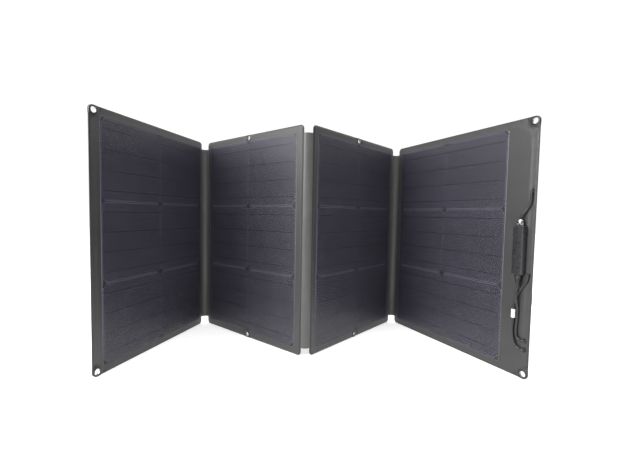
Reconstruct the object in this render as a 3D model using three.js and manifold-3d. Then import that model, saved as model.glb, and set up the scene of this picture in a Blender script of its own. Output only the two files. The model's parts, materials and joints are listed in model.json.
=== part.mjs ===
// Folding solar blanket: four stiff solar panels in fabric covers, joined by three fabric hinges and
// stood up in a zigzag. Millimetres, +Z up, the fronts of the panels facing -Y.
//
// Each panel is built in its own frame: X runs across it from its left edge, Y from its front (negative)
// to its back, with 0 at the middle of the board, and Z up from its bottom edge.

import * as THREE from 'three';
import { mergeVertices } from 'three/addons/utils/BufferGeometryUtils.js';
import Module from 'manifold-3d';

const wasm = await Module();
wasm.setup();

// ---- Driving dimensions ----

const PANEL_HEIGHT = 508;
const PANEL_WIDTH = 350;
const STRIP_WIDTH = 45; // the cable strip that makes panel 4 wider than the others
const CORNER_RADIUS = 9;

const GAP = 0.3; // between pieces that lie on each other
const PAST = 1; // how far a cutting shape runs past the face that it cuts
const BOARD_THICKNESS = 2.4;
const FRONT_FABRIC_THICKNESS = 0.6;
const REAR_FABRIC_THICKNESS = 0.8;
const FILM_THICKNESS = 0.5;

const CELL = 156;
const CELL_GAP = 2;
const CELL_CUT = 8; // the leg of each cut corner
const CELL_THICKNESS = 0.4;
const CELL_COLUMNS = 2;
const CELL_ROWS = ['bottom', 'middle', 'top'];
const RIBBONS = 4;
const RIBBON_WIDTH = 1.4;
const RIBBON_PROUD = 0.15;
const RIBBON_END = 4; // from the end of a ribbon to the edge of its cell
const RIBBON_CLEARANCE = 0.25; // from the ribbons to the film over them

const FILM_MARGIN = 3;
const FILM_RADIUS = 4;
const FILM_WALL = 2;

const COVER_RIM = 3; // the welded rim of the rear cover, outside the board
const BOARD_CHAMFER = 26; // cut off the board's corner beside a corner eyelet
const NOTCH_DEPTH = 18; // cut into the board beside an eyelet on the top or bottom edge
const NOTCH_HALF_WIDTH = 12;
const NOTCH_RADIUS = 4;

const CORNER_EYELET = { bore: 5.5, flange: 8.3, inset: 9.2 };
const MIDDLE_EYELET = { bore: 5.2, flange: 7, inset: 7.7 };
const MIDDLE_EYELET_X = 172;
const EYELET_WALL = 0.5;
const EYELET_FLANGE_THICKNESS = 0.5;

const WEB_THICKNESS = 1.2;
const WEB_NOTCH = 18; // the hinge webs stop this far from the panels' ends
const WEB_SEGMENTS = 12;
const AXIS_INSET = 10; // from a panel's edge to its hinge axis
const VALLEY_AXIS_Y = -4.5; // folds front to front
const MOUNTAIN_AXIS_Y = 3.9; // folds back to back

// The inline box in front of panel 4's cable strip.
const BOX_X = 372;
const BOX_WIDTH = 21;
const BOX_BOTTOM = 204;
const BOX_TOP = 300;
const BOX_RADIUS = 3;
const BOX_WALL = 1.6;
const BOX_BASE_DEPTH = 8;
const BOX_COVER_DEPTH = 4.7;
const BOX_FRAME = { width: 13, height: 32, band: 1.4, proud: 0.6, radius: 4 };
const CIRCUIT = { side: 3, end: 6, thickness: 1.6 }; // side and end: from the box's outside
const GLAND_RADIUS = 6;
const GLAND_DEPTH = 6.8; // from the front fabric to the middle of the glands
const GLAND_NECK_WALL = 0.9; // round the lead, where the lead leaves the gland
const TOP_GLAND_LENGTH = 13;
const BOTTOM_GLAND_LENGTH = 19;

// The junction box, the connectors and their band behind the cable strip.
const JUNCTION = { left: 353.6, right: 384.6, bottom: 252, top: 334, base: 10, lid: 3, wall: 2, radius: 4 };
const TERMINALS = { side: 6, end: 18, thickness: 4.7 };
const JUNCTION_GLAND = { x: 376, height: 6, length: 10, radius: 5.6 };
const CONNECTOR = { radius: 8, length: 92, bottom: 108 };
const CONNECTOR_A_X = 379;
const CONNECTOR_B_X = 362;
const BAND = { left: 352.6, right: 388.6, bottom: 146, top: 166, thickness: 0.9 };
const BAND_SHOULDER = { lean: 1, drop: 5, reach: 7 }; // where the band bends in over the connectors

const LEAD_DIAMETER = 4.6;
const LEAD_STEP = 2.5;
const LEAD_CLEARANCE = 0.6; // from the leads to the faces of panel 4
const LEAD_HOLE = { x: 388.1, radius: 4.6 }; // the leads pass through the panel beside its free edge
const A_UPPER_HOLE_Z = 368;
const A_LOWER_HOLE_Z = 76;
const B_UPPER_HOLE_Z = 206;
const B_LOWER_HOLE_Z = 58;
const MARKER = { x: 364.5, bottom: 117, length: 17, radius: 3.8, bore: 2.65, clearance: 0.4 };

// Angles in plan, in degrees, as the blanket stands.
const PANEL_2_HEADING = -39.6;
const ANGLE_12 = 67;
const ANGLE_23 = 92.7;
const ANGLE_34 = 67.6;

// ---- Layers through a panel's thickness ----

const BOARD_FRONT = -BOARD_THICKNESS / 2;
const BOARD_BACK = BOARD_THICKNESS / 2;
const REAR_FACE = BOARD_BACK + GAP + REAR_FABRIC_THICKNESS;
const FABRIC_BACK = BOARD_FRONT - GAP;
const FABRIC_FACE = FABRIC_BACK - FRONT_FABRIC_THICKNESS;
const CELL_BACK = FABRIC_FACE - GAP;
const CELL_FACE = CELL_BACK - CELL_THICKNESS;
const FILM_BACK = CELL_FACE - RIBBON_PROUD - RIBBON_CLEARANCE;
const FILM_FACE = FILM_BACK - FILM_THICKNESS;
const LEAD_FRONT_Y = FABRIC_FACE - LEAD_CLEARANCE - LEAD_DIAMETER / 2;
const LEAD_BACK_Y = REAR_FACE + LEAD_CLEARANCE + LEAD_DIAMETER / 2;
const LEAD_MIDDLE_Y = (LEAD_FRONT_Y + LEAD_BACK_Y) / 2;
const LEAD_TURN = (LEAD_BACK_Y - LEAD_FRONT_Y) / 2; // the radius of a lead's turn through the panel
const INLINE_GLAND_Y = FABRIC_FACE - GLAND_DEPTH;
const JUNCTION_GLAND_Y = REAR_FACE + GAP + JUNCTION_GLAND.height;
const CONNECTOR_Y = REAR_FACE + GAP + CONNECTOR.radius;
const MARKER_Y = FABRIC_FACE - MARKER.clearance - MARKER.radius;

// ---- Materials ----

function material(color, roughness, metalness = 0) {
  return new THREE.MeshStandardMaterial({ color, roughness, metalness });
}

const LOOKS = {
  rearFabric: () => material(0x1d1e1f, 0.9),
  frontFabric: () => material(0x3b3d3b, 0.6),
  board: () => material(0x2c2d2f, 0.7),
  cell: () => material(0x1b1a2a, 0.35, 0.2),
  film: () => material(0x35333f, 0.3),
  web: () => material(0x4a4b49, 0.7),
  eyelet: () => material(0x55575a, 0.35, 0.9),
  box: () => material(0x242527, 0.45),
  gland: () => material(0x9a9b9c, 0.3, 0.6),
  circuit: () => material(0x1f4a2c, 0.5),
  lead: () => material(0x141415, 0.5),
  marker: () => material(0xf2f2f0, 0.5),
  connector: () => material(0x101011, 0.5),
  band: () => material(0x18191a, 0.9),
};

// ---- Solids ----

const ARC_SEGMENTS = 4; // in each rounded corner of a plate

function toSolid(geometry) {
  const bare = geometry.clone();
  bare.deleteAttribute('normal');
  bare.deleteAttribute('uv');
  const merged = mergeVertices(bare, 1e-4);
  const mesh = new wasm.Mesh({
    numProp: 3,
    vertProperties: new Float32Array(merged.attributes.position.array),
    triVerts: new Uint32Array(merged.index.array),
  });
  return new wasm.Manifold(mesh);
}

function fromSolid(solid) {
  const mesh = solid.getMesh();
  const geometry = new THREE.BufferGeometry();
  geometry.setAttribute('position', new THREE.BufferAttribute(new Float32Array(mesh.vertProperties), 3));
  geometry.setIndex(new THREE.BufferAttribute(new Uint32Array(mesh.triVerts), 1));
  geometry.computeVertexNormals();
  return geometry;
}

function cut(body, ...tools) {
  return fromSolid(tools.reduce((solid, tool) => solid.subtract(toSolid(tool)), toSolid(body)));
}

function join(...bodies) {
  return fromSolid(bodies.map(toSolid).reduce((solid, other) => solid.add(other)));
}

/** An outline through corners [x, z, radius], each rounded by its radius. */
function outline(corners, Kind = THREE.Shape) {
  const path = new Kind();
  const at = corners.map(([x, z]) => new THREE.Vector2(x, z));
  corners.forEach(([, , radius = 0], i) => {
    const corner = at[i];
    const towards = (other) => corner.clone().add(other.clone().sub(corner).setLength(radius));
    const arrive = towards(at[(i + at.length - 1) % at.length]);
    const leave = towards(at[(i + 1) % at.length]);
    if (i === 0) path.moveTo(arrive.x, arrive.y);
    else path.lineTo(arrive.x, arrive.y);
    if (radius > 0) path.quadraticCurveTo(corner.x, corner.y, leave.x, leave.y);
  });
  path.closePath();
  return path;
}

function rectangle(left, bottom, right, top, radius = 0, Kind = THREE.Shape) {
  const corners = [[left, bottom], [right, bottom], [right, top], [left, top]];
  return outline(corners.map((corner) => [...corner, radius]), Kind);
}

/** A round hole, as four quarter arcs so that it gets enough sides. */
function roundHole(x, z, radius) {
  const path = new THREE.Path();
  path.moveTo(x + radius, z);
  for (let quarter = 0; quarter < 4; quarter += 1) {
    const start = (quarter * Math.PI) / 2;
    path.absarc(x, z, radius, start, start + Math.PI / 2, false);
  }
  return path;
}

/** A flat plate of this outline, from one Y to another. */
function plate(shape, front, back) {
  const options = { depth: back - front, bevelEnabled: false, curveSegments: ARC_SEGMENTS };
  const geometry = new THREE.ExtrudeGeometry(shape, options);
  return geometry.rotateX(Math.PI / 2).translate(0, back, 0);
}

/** A block between two corners. */
function block(low, high) {
  const [width, depth, height] = high.map((value, i) => value - low[i]);
  const [x, y, z] = high.map((value, i) => (value + low[i]) / 2);
  return new THREE.BoxGeometry(width, depth, height).translate(x, y, z);
}

/** A solid of revolution with its axis along Z, from [radius, z] points that start and end on the axis. */
function turned(profile, sides = 16) {
  const points = profile.map(([radius, z]) => new THREE.Vector2(radius, z));
  return new THREE.LatheGeometry(points, sides).rotateX(Math.PI / 2);
}

/** A ring, from a closed [radius, z] profile. */
function ring(profile, sides) {
  return turned([...profile, profile[0]], sides);
}

/** A round tube through these points. */
function tube(points, diameter, step, sides = 8) {
  const path = new THREE.CatmullRomCurve3(points.map((point) => new THREE.Vector3(...point)));
  const steps = Math.round(path.getLength() / step);
  const section = new THREE.Shape();
  for (let i = 0; i < sides; i += 1) {
    const angle = (i * 2 * Math.PI) / sides;
    const x = (Math.cos(angle) * diameter) / 2;
    const y = (Math.sin(angle) * diameter) / 2;
    if (i === 0) section.moveTo(x, y);
    else section.lineTo(x, y);
  }
  return new THREE.ExtrudeGeometry(section, { steps, extrudePath: path, bevelEnabled: false });
}

function piece(parent, name, geometry, look) {
  const mesh = new THREE.Mesh(geometry, look());
  mesh.name = name;
  parent.add(mesh);
  return mesh;
}

// ---- One panel ----

/** Where a panel's eyelets are: the corners beside its free edge, or the middle of its long edges. */
function eyeletPlaces(panel) {
  const kind = panel.freeEdge ? CORNER_EYELET : MIDDLE_EYELET;
  const x = { left: kind.inset, right: panel.width - kind.inset }[panel.freeEdge] ?? MIDDLE_EYELET_X;
  return [
    { kind, x, z: PANEL_HEIGHT - kind.inset, end: 'top' },
    { kind, x, z: kind.inset, end: 'bottom' },
  ];
}

/** The cover's outline, with a hole for each eyelet. */
function coverShape(panel) {
  const shape = rectangle(0, 0, panel.width, PANEL_HEIGHT, CORNER_RADIUS);
  shape.holes = eyeletPlaces(panel).map(({ kind, x, z }) => roundHole(x, z, kind.bore + EYELET_WALL + GAP));
  return shape;
}

/** The board's outline, which leaves the fabric round the eyelets free; margin grows it. */
function boardShape(panel, margin) {
  const inset = COVER_RIM + GAP - margin;
  const [left, right, top] = [inset, panel.width - inset, PANEL_HEIGHT - inset];
  const notchTop = PANEL_HEIGHT - NOTCH_DEPTH + margin;
  const notchBottom = NOTCH_DEPTH - margin;
  const half = NOTCH_HALF_WIDTH - margin;
  const notch = (edge, floor, sign) => [
    [MIDDLE_EYELET_X + sign * half, edge, 0],
    [MIDDLE_EYELET_X + sign * half, floor, NOTCH_RADIUS],
    [MIDDLE_EYELET_X - sign * half, floor, NOTCH_RADIUS],
    [MIDDLE_EYELET_X - sign * half, edge, 0],
  ];
  const chamfer = BOARD_CHAMFER - margin * Math.SQRT2;
  const cutLeft = (z, inward) => [[left, z + inward * chamfer, 0], [left + chamfer, z, 0]];
  const cutRight = (z, inward) => [[right - chamfer, z, 0], [right, z + inward * chamfer, 0]];
  const rounded = (x, z) => [[x, z, CORNER_RADIUS - inset]];
  const chamferLeft = panel.freeEdge === 'left';
  const chamferRight = panel.freeEdge === 'right';
  return outline([
    ...(chamferLeft ? cutLeft(inset, 1) : rounded(left, inset)),
    ...(panel.freeEdge ? [] : notch(inset, notchBottom, -1)),
    ...(chamferRight ? cutRight(inset, 1) : rounded(right, inset)),
    ...(chamferRight ? cutRight(top, -1).reverse() : rounded(right, top)),
    ...(panel.freeEdge ? [] : notch(top, notchTop, 1)),
    ...(chamferLeft ? cutLeft(top, -1).reverse() : rounded(left, top)),
  ]);
}

/** A row of cells joined by the ribbons soldered across them. */
function cellRow(left, bottom) {
  const pitch = CELL + CELL_GAP;
  const cells = Array.from({ length: CELL_COLUMNS }, (_, column) => {
    const [x0, x1] = [left + column * pitch, left + column * pitch + CELL];
    const [z0, z1] = [bottom, bottom + CELL];
    const octagon = outline([
      [x0 + CELL_CUT, z0], [x1 - CELL_CUT, z0], [x1, z0 + CELL_CUT], [x1, z1 - CELL_CUT],
      [x1 - CELL_CUT, z1], [x0 + CELL_CUT, z1], [x0, z1 - CELL_CUT], [x0, z0 + CELL_CUT],
    ]);
    return plate(octagon, CELL_FACE, CELL_BACK);
  });
  const right = left + (CELL_COLUMNS - 1) * pitch + CELL;
  const ribbons = Array.from({ length: RIBBONS }, (_, i) => {
    const z = bottom + (CELL * (i + 0.5)) / RIBBONS;
    const low = [left + RIBBON_END, CELL_FACE - RIBBON_PROUD, z - RIBBON_WIDTH / 2];
    const high = [right - RIBBON_END, CELL_FACE + CELL_THICKNESS / 2, z + RIBBON_WIDTH / 2];
    return block(low, high);
  });
  return join(...cells, ...ribbons);
}

function addCells(group, panel) {
  const pitch = CELL + CELL_GAP;
  const width = CELL_COLUMNS * pitch - CELL_GAP;
  const height = CELL_ROWS.length * pitch - CELL_GAP;
  const left = (PANEL_WIDTH - width) / 2 + panel.cellShift;
  const bottom = (PANEL_HEIGHT - height) / 2;
  CELL_ROWS.forEach((row, i) => {
    piece(group, `${panel.name}_cells_${row}`, cellRow(left, bottom + i * pitch), LOOKS.cell);
  });
  const edges = (grow) => [left - grow, bottom - grow, left + width + grow, bottom + height + grow];
  const sheet = plate(rectangle(...edges(FILM_MARGIN), FILM_RADIUS), FILM_FACE, CELL_BACK);
  const hollow = plate(rectangle(...edges(FILM_MARGIN - FILM_WALL)), FILM_BACK, CELL_BACK + PAST);
  piece(group, `${panel.name}_film`, cut(sheet, hollow), LOOKS.film);
}

function eyelet(kind) {
  const front = FABRIC_FACE - GAP;
  const back = REAR_FACE + GAP;
  const barrel = kind.bore + EYELET_WALL;
  return ring([
    [kind.bore, -back - EYELET_FLANGE_THICKNESS],
    [kind.flange, -back - EYELET_FLANGE_THICKNESS],
    [kind.flange, -back],
    [barrel, -back],
    [barrel, -front],
    [kind.flange, -front],
    [kind.flange, -front + EYELET_FLANGE_THICKNESS],
    [kind.bore, -front + EYELET_FLANGE_THICKNESS],
  ], 20).rotateX(Math.PI / 2);
}

/** The cutting shapes for the holes that the leads pass through. */
function leadHoles(panel) {
  const { x, radius } = LEAD_HOLE;
  const depth = REAR_FACE + PAST;
  const profile = [[0, -depth], [radius, -depth], [radius, depth], [0, depth]];
  return panel.leadHoles.map((z) => turned(profile).rotateX(Math.PI / 2).translate(x, 0, z));
}

function addPanel(parent, panel) {
  const group = new THREE.Group();
  parent.add(group);
  const holes = leadHoles(panel);
  const pocket = plate(boardShape(panel, GAP), BOARD_FRONT - PAST, BOARD_BACK + GAP);
  const cover = cut(plate(coverShape(panel), BOARD_FRONT, REAR_FACE), pocket, ...holes);
  const board = cut(plate(boardShape(panel, 0), BOARD_FRONT, BOARD_BACK), ...holes);
  const fabric = cut(plate(coverShape(panel), FABRIC_FACE, FABRIC_BACK), ...holes);
  piece(group, `${panel.name}_rear_cover`, cover, LOOKS.rearFabric);
  piece(group, `${panel.name}_board`, board, LOOKS.board);
  piece(group, `${panel.name}_front_fabric`, fabric, LOOKS.frontFabric);
  addCells(group, panel);
  eyeletPlaces(panel).forEach(({ kind, x, z, end }) => {
    piece(group, `${panel.name}_eyelet_${end}`, eyelet(kind), LOOKS.eyelet).position.set(x, 0, z);
  });
  return group;
}

// ---- Hinges ----

/** Turns a group about a vertical axis through x, y in its parent. */
function turnAbout(group, x, y, degrees) {
  const angle = THREE.MathUtils.degToRad(degrees);
  const axis = new THREE.Vector3(x, y, 0);
  const centre = group.position.clone().sub(axis).applyAxisAngle(new THREE.Vector3(0, 0, 1), angle);
  group.position.copy(centre.add(axis));
  group.rotation.z = angle;
}

/**
 * A fabric web that leaves one panel's edge along that panel, bends round and meets the next panel along
 * its face. foldSide is -1 where the fronts fold together and 1 where the backs do; way is the side of the
 * panel that the web is on.
 */
function web(axisY, interior, foldSide, way) {
  const half = THREE.MathUtils.degToRad(interior / 2);
  const reach = AXIS_INSET + Math.abs(axisY) / Math.tan(half);
  const radius = reach * Math.tan(half);
  const clearance = GAP / radius;
  const turn = Math.PI - 2 * half;
  const point = (distance, angle) => new THREE.Vector2(
    way * distance * Math.sin(angle),
    foldSide * (radius - distance * Math.cos(angle)),
  );
  const sweep = Array.from({ length: WEB_SEGMENTS + 1 }, (_, i) => (
    clearance + ((turn - 2 * clearance) * i) / WEB_SEGMENTS
  ));
  const outer = sweep.map((angle) => point(radius + WEB_THICKNESS / 2, angle));
  const inner = sweep.map((angle) => point(radius - WEB_THICKNESS / 2, angle)).reverse();
  const options = { depth: PANEL_HEIGHT - 2 * WEB_NOTCH, bevelEnabled: false };
  return new THREE.ExtrudeGeometry(new THREE.Shape([...outer, ...inner]), options).translate(0, 0, WEB_NOTCH);
}

// ---- The cable strip on panel 4 ----

/** A gland with its wide end at z = 0, narrowing upwards to where the lead leaves it. */
function gland(length, radius) {
  const neck = LEAD_DIAMETER / 2 + GLAND_NECK_WALL;
  return turned([
    [0, 0],
    [radius * 0.86, 0],
    [radius, length * 0.08],
    [radius, length * 0.5],
    [radius * 0.86, length * 0.58],
    [neck, length],
    [0, length],
  ]);
}

function addInlineBox(group) {
  const [left, right] = [BOX_X - BOX_WIDTH / 2, BOX_X + BOX_WIDTH / 2];
  const back = FABRIC_FACE - GAP;
  const rim = back - BOX_BASE_DEPTH;
  const room = rectangle(
    left + BOX_WALL, BOX_BOTTOM + BOX_WALL, right - BOX_WALL, BOX_TOP - BOX_WALL, BOX_RADIUS - BOX_WALL,
  );
  const body = rectangle(left, BOX_BOTTOM, right, BOX_TOP, BOX_RADIUS);
  const base = cut(plate(body, rim, back), plate(room, rim - PAST, back - BOX_WALL));
  piece(group, 'inline_box_base', base, LOOKS.box);

  const circuitBack = back - BOX_WALL - GAP;
  const circuit = block(
    [left + CIRCUIT.side, circuitBack - CIRCUIT.thickness, BOX_BOTTOM + CIRCUIT.end],
    [right - CIRCUIT.side, circuitBack, BOX_TOP - CIRCUIT.end],
  );
  piece(group, 'inline_box_circuit', circuit, LOOKS.circuit);

  const coverBack = rim - GAP;
  const face = coverBack - BOX_COVER_DEPTH;
  const shell = cut(plate(body, face, coverBack), plate(room, face + BOX_WALL, coverBack + PAST));
  const frame = plate(boxFrame(), face - BOX_FRAME.proud, face + BOX_WALL / 2);
  piece(group, 'inline_box_cover', join(shell, frame), LOOKS.box);
}

/** The raised frame in the middle of the inline box's cover. */
function boxFrame() {
  const { width, height, band, radius } = BOX_FRAME;
  const centre = (BOX_TOP + BOX_BOTTOM) / 2;
  const sides = (inset) => [
    BOX_X - width / 2 + inset,
    centre - height / 2 + inset,
    BOX_X + width / 2 - inset,
    centre + height / 2 - inset,
  ];
  const frame = rectangle(...sides(0), radius);
  frame.holes.push(rectangle(...sides(band), radius - band, THREE.Path));
  return frame;
}

/** A lead's turn sideways through a hole, from the panel's back to its front. */
function sidewaysTurn(z) {
  const centre = LEAD_HOLE.x - LEAD_TURN;
  const turn = Array.from({ length: 5 }, (_, i) => {
    const angle = (i * Math.PI) / 4;
    return [centre + LEAD_TURN * Math.sin(angle), LEAD_MIDDLE_Y + LEAD_TURN * Math.cos(angle), z];
  });
  return [[centre - 3, LEAD_BACK_Y, z], ...turn, [centre - 3, LEAD_FRONT_Y, z]];
}

/** A lead's turn over the lower edge of a hole, up the panel's back and down its front. */
function overTurn(z) {
  const centre = z - LEAD_TURN;
  const turn = Array.from({ length: 5 }, (_, i) => {
    const angle = (i * Math.PI) / 4;
    return [LEAD_HOLE.x, LEAD_MIDDLE_Y + LEAD_TURN * Math.cos(angle), centre + LEAD_TURN * Math.sin(angle)];
  });
  return [...turn, [LEAD_HOLE.x, LEAD_FRONT_Y, centre - 5]];
}

/** A lead's way down through a hole, from the panel's back to its front. */
function downThrough(z) {
  const steps = [[LEAD_TURN, 5.5], [LEAD_TURN - 0.9, 2.6], [LEAD_TURN - 3.3, 0.8]];
  const side = (way) => steps.map(([y, rise]) => [LEAD_HOLE.x, LEAD_MIDDLE_Y + way * y, z + way * rise]);
  return [...side(1), ...side(-1).reverse()];
}

function addLeads(group) {
  const [back, front] = [LEAD_BACK_Y, LEAD_FRONT_Y];
  const upperGlandEnd = JUNCTION.top + JUNCTION_GLAND.length + 2 * GAP;
  const lowerGlandEnd = JUNCTION.bottom - JUNCTION_GLAND.length - 2 * GAP;
  const leadAUpper = [
    [JUNCTION_GLAND.x, JUNCTION_GLAND_Y, upperGlandEnd],
    [JUNCTION_GLAND.x, JUNCTION_GLAND_Y, upperGlandEnd + 4],
    [380, back + 2.3, 353.5],
    [386.5, back + 0.7, 358],
    ...overTurn(A_UPPER_HOLE_Z),
    [387.4, front, 347],
    [384.2, front - 0.7, 338],
    [379.6, front - 2, 329.5],
    [374.8, INLINE_GLAND_Y + 0.3, 322.5],
    [BOX_X, INLINE_GLAND_Y, 317.5],
    [BOX_X, INLINE_GLAND_Y, BOX_TOP + TOP_GLAND_LENGTH + 2 * GAP],
  ];
  const leadALower = [
    [BOX_X, INLINE_GLAND_Y, BOX_BOTTOM - BOTTOM_GLAND_LENGTH - 2 * GAP],
    [BOX_X, INLINE_GLAND_Y, 179],
    [372, front - 5.8, 172],
    [371.5, front - 6.6, 164],
    [371, front - 5.8, 156],
    [371, front - 2, 145],
    [371.6, front, 135],
    [371.8, front, 124],
    [371.2, front, 112],
    [370.6, front, 99],
    [371, front, 88],
    [373, front, 80.8],
    [376.5, front, 77],
    ...sidewaysTurn(A_LOWER_HOLE_Z).reverse(),
    [374.5, back + 0.6, 77],
    [372, back + 2, 82],
    [373.8, back + 3.8, 89.5],
    [377.5, CONNECTOR_Y - 0.1, 96.5],
    [CONNECTOR_A_X, CONNECTOR_Y, 102],
    [CONNECTOR_A_X, CONNECTOR_Y, CONNECTOR.bottom - GAP],
  ];
  const leadB = [
    [JUNCTION_GLAND.x, JUNCTION_GLAND_Y, lowerGlandEnd],
    [JUNCTION_GLAND.x, JUNCTION_GLAND_Y, 234],
    [379.5, back + 2.3, 226],
    [385.5, back + 0.8, 218.5],
    ...downThrough(B_UPPER_HOLE_Z),
    [384.5, front, 190],
    [376.5, front, 177],
    [369, front, 162.5],
    [365.6, front - 0.6, 150],
    [MARKER.x, MARKER_Y, 140],
    [MARKER.x, MARKER_Y, 125],
    [MARKER.x, MARKER_Y, 110],
    [363.2, front - 0.6, 98],
    [364.4, front, 82],
    [369, front, 67],
    [375, front, 60],
    ...sidewaysTurn(B_LOWER_HOLE_Z).reverse(),
    [370, back, 58.3],
    [364.5, back + 0.5, 62],
    [CONNECTOR_B_X + 0.3, back + 1.8, 71],
    [CONNECTOR_B_X, CONNECTOR_Y - 1, 83],
    [CONNECTOR_B_X, CONNECTOR_Y, 94],
    [CONNECTOR_B_X, CONNECTOR_Y, CONNECTOR.bottom - GAP],
  ];
  piece(group, 'lead_a_upper', tube(leadAUpper, LEAD_DIAMETER, LEAD_STEP), LOOKS.lead);
  piece(group, 'lead_a_lower', tube(leadALower, LEAD_DIAMETER, LEAD_STEP), LOOKS.lead);
  piece(group, 'lead_b', tube(leadB, LEAD_DIAMETER, LEAD_STEP), LOOKS.lead);
  const { radius, bore, length, bottom } = MARKER;
  const sleeve = ring([[bore, 0], [radius, 0], [radius, length], [bore, length]], 16);
  piece(group, 'lead_b_marker', sleeve, LOOKS.marker).position.set(MARKER.x, MARKER_Y, bottom);
}

/** An inline solar connector, standing on its cable nut. */
function connector() {
  const { radius, length } = CONNECTOR;
  return turned([
    [0, 0],
    [radius * 0.62, 0],
    [radius, length * 0.08],
    [radius, length * 0.3],
    [radius * 0.82, length * 0.34],
    [radius * 0.82, length * 0.68],
    [radius * 0.95, length * 0.7],
    [radius * 0.95, length * 0.82],
    [radius * 0.55, length * 0.84],
    [radius * 0.55, length],
    [0, length],
  ]);
}

/** The stretchy band that keeps both connectors on the back of the strip. */
function connectorBand() {
  const { left, right, bottom, top, thickness } = BAND;
  const { lean, drop, reach } = BAND_SHOULDER;
  const ground = REAR_FACE + GAP;
  const crest = ground + 2 * CONNECTOR.radius + GAP;
  const half = (inset, rise) => [
    [left + inset, ground], [left + inset + lean, crest - drop], [left + reach, crest + rise],
  ];
  const arch = (inset, rise) => {
    const side = half(inset, rise);
    const mirrored = side.map(([x, y]) => [left + right - x, y]).reverse();
    return [...side, ...mirrored].map(([x, y]) => new THREE.Vector2(x, y));
  };
  const shape = new THREE.Shape([...arch(0, thickness), ...arch(thickness, 0).reverse()]);
  const options = { depth: top - bottom, bevelEnabled: false };
  return new THREE.ExtrudeGeometry(shape, options).translate(0, 0, bottom);
}

function addJunctionBox(group) {
  const { left, right, bottom, top, base, lid, wall, radius } = JUNCTION;
  const front = REAR_FACE + GAP;
  const split = front + base;
  const body = rectangle(left, bottom, right, top, radius);
  const room = rectangle(left + wall, bottom + wall, right - wall, top - wall, radius - wall);
  const tray = cut(plate(body, front, split), plate(room, front + wall, split + PAST));
  piece(group, 'junction_box_base', tray, LOOKS.box);
  const lidFront = split + GAP;
  const cap = cut(plate(body, lidFront, lidFront + lid), plate(room, lidFront - PAST, lidFront + lid / 2));
  piece(group, 'junction_box_lid', cap, LOOKS.box);
  const terminalsFront = front + wall + GAP;
  const terminals = block(
    [left + TERMINALS.side, terminalsFront, bottom + TERMINALS.end],
    [right - TERMINALS.side, terminalsFront + TERMINALS.thickness, top - TERMINALS.end],
  );
  piece(group, 'junction_terminals', terminals, LOOKS.circuit);
  addGland(group, 'junction_gland_a', JUNCTION_GLAND, [JUNCTION_GLAND.x, JUNCTION_GLAND_Y, top + GAP], 1);
  addGland(group, 'junction_gland_b', JUNCTION_GLAND, [JUNCTION_GLAND.x, JUNCTION_GLAND_Y, bottom - GAP], -1);
}

/** A gland that points up (way 1) or down (way -1) from its wide end. */
function addGland(group, name, { length, radius }, place, way, look = LOOKS.connector) {
  const body = gland(length, radius);
  if (way < 0) body.rotateX(Math.PI);
  piece(group, name, body, look).position.set(...place);
}

function addCableStrip(group) {
  addInlineBox(group);
  const topGland = { length: TOP_GLAND_LENGTH, radius: GLAND_RADIUS };
  const bottomGland = { length: BOTTOM_GLAND_LENGTH, radius: GLAND_RADIUS };
  addGland(group, 'inline_gland_top', topGland, [BOX_X, INLINE_GLAND_Y, BOX_TOP + GAP], 1, LOOKS.gland);
  addGland(group, 'inline_gland_bottom', bottomGland, [BOX_X, INLINE_GLAND_Y, BOX_BOTTOM - GAP], -1);
  addJunctionBox(group);
  addLeads(group);
  const place = [CONNECTOR_Y, CONNECTOR.bottom];
  piece(group, 'connector_a', connector(), LOOKS.connector).position.set(CONNECTOR_A_X, ...place);
  piece(group, 'connector_b', connector(), LOOKS.connector).position.set(CONNECTOR_B_X, ...place);
  piece(group, 'connector_band', connectorBand(), LOOKS.band);
}

// ---- Assembly ----

const CORD_NODES = [
  'lead_a_upper', 'lead_a_lower', 'lead_b', 'lead_b_marker', 'connector_a', 'connector_b',
];

const [panel1, panel2, panel3, panel4] = [
  { name: 'panel_1', width: PANEL_WIDTH, cellShift: 6, freeEdge: 'left', leadHoles: [] },
  { name: 'panel_2', width: PANEL_WIDTH, cellShift: -2, leadHoles: [] },
  { name: 'panel_3', width: PANEL_WIDTH, cellShift: -1, leadHoles: [] },
  {
    name: 'panel_4',
    width: PANEL_WIDTH + STRIP_WIDTH,
    cellShift: 1,
    freeEdge: 'right',
    leadHoles: [A_UPPER_HOLE_Z, B_UPPER_HOLE_Z, A_LOWER_HOLE_Z, B_LOWER_HOLE_Z],
  },
];
const PANEL_PITCH = PANEL_WIDTH + 2 * AXIS_INSET;

const group = new THREE.Group();
const second = addPanel(group, panel2);

const first = addPanel(second, panel1);
first.position.x = -PANEL_PITCH;
turnAbout(first, -AXIS_INSET, VALLEY_AXIS_Y, 180 - ANGLE_12);
piece(second, 'hinge_web_12', web(VALLEY_AXIS_Y, ANGLE_12, -1, -1), LOOKS.web);

const third = addPanel(second, panel3);
third.position.x = PANEL_PITCH;
turnAbout(third, PANEL_WIDTH + AXIS_INSET, MOUNTAIN_AXIS_Y, 180 - ANGLE_23);
const web23 = piece(second, 'hinge_web_23', web(MOUNTAIN_AXIS_Y, ANGLE_23, 1, 1), LOOKS.web);
web23.position.x = PANEL_WIDTH;

const fourth = addPanel(third, panel4);
fourth.position.x = PANEL_PITCH;
turnAbout(fourth, PANEL_WIDTH + AXIS_INSET, VALLEY_AXIS_Y, ANGLE_34 - 180);
const web34 = piece(third, 'hinge_web_34', web(VALLEY_AXIS_Y, ANGLE_34, -1, 1), LOOKS.web);
web34.position.x = PANEL_WIDTH;
addCableStrip(fourth);

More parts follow.
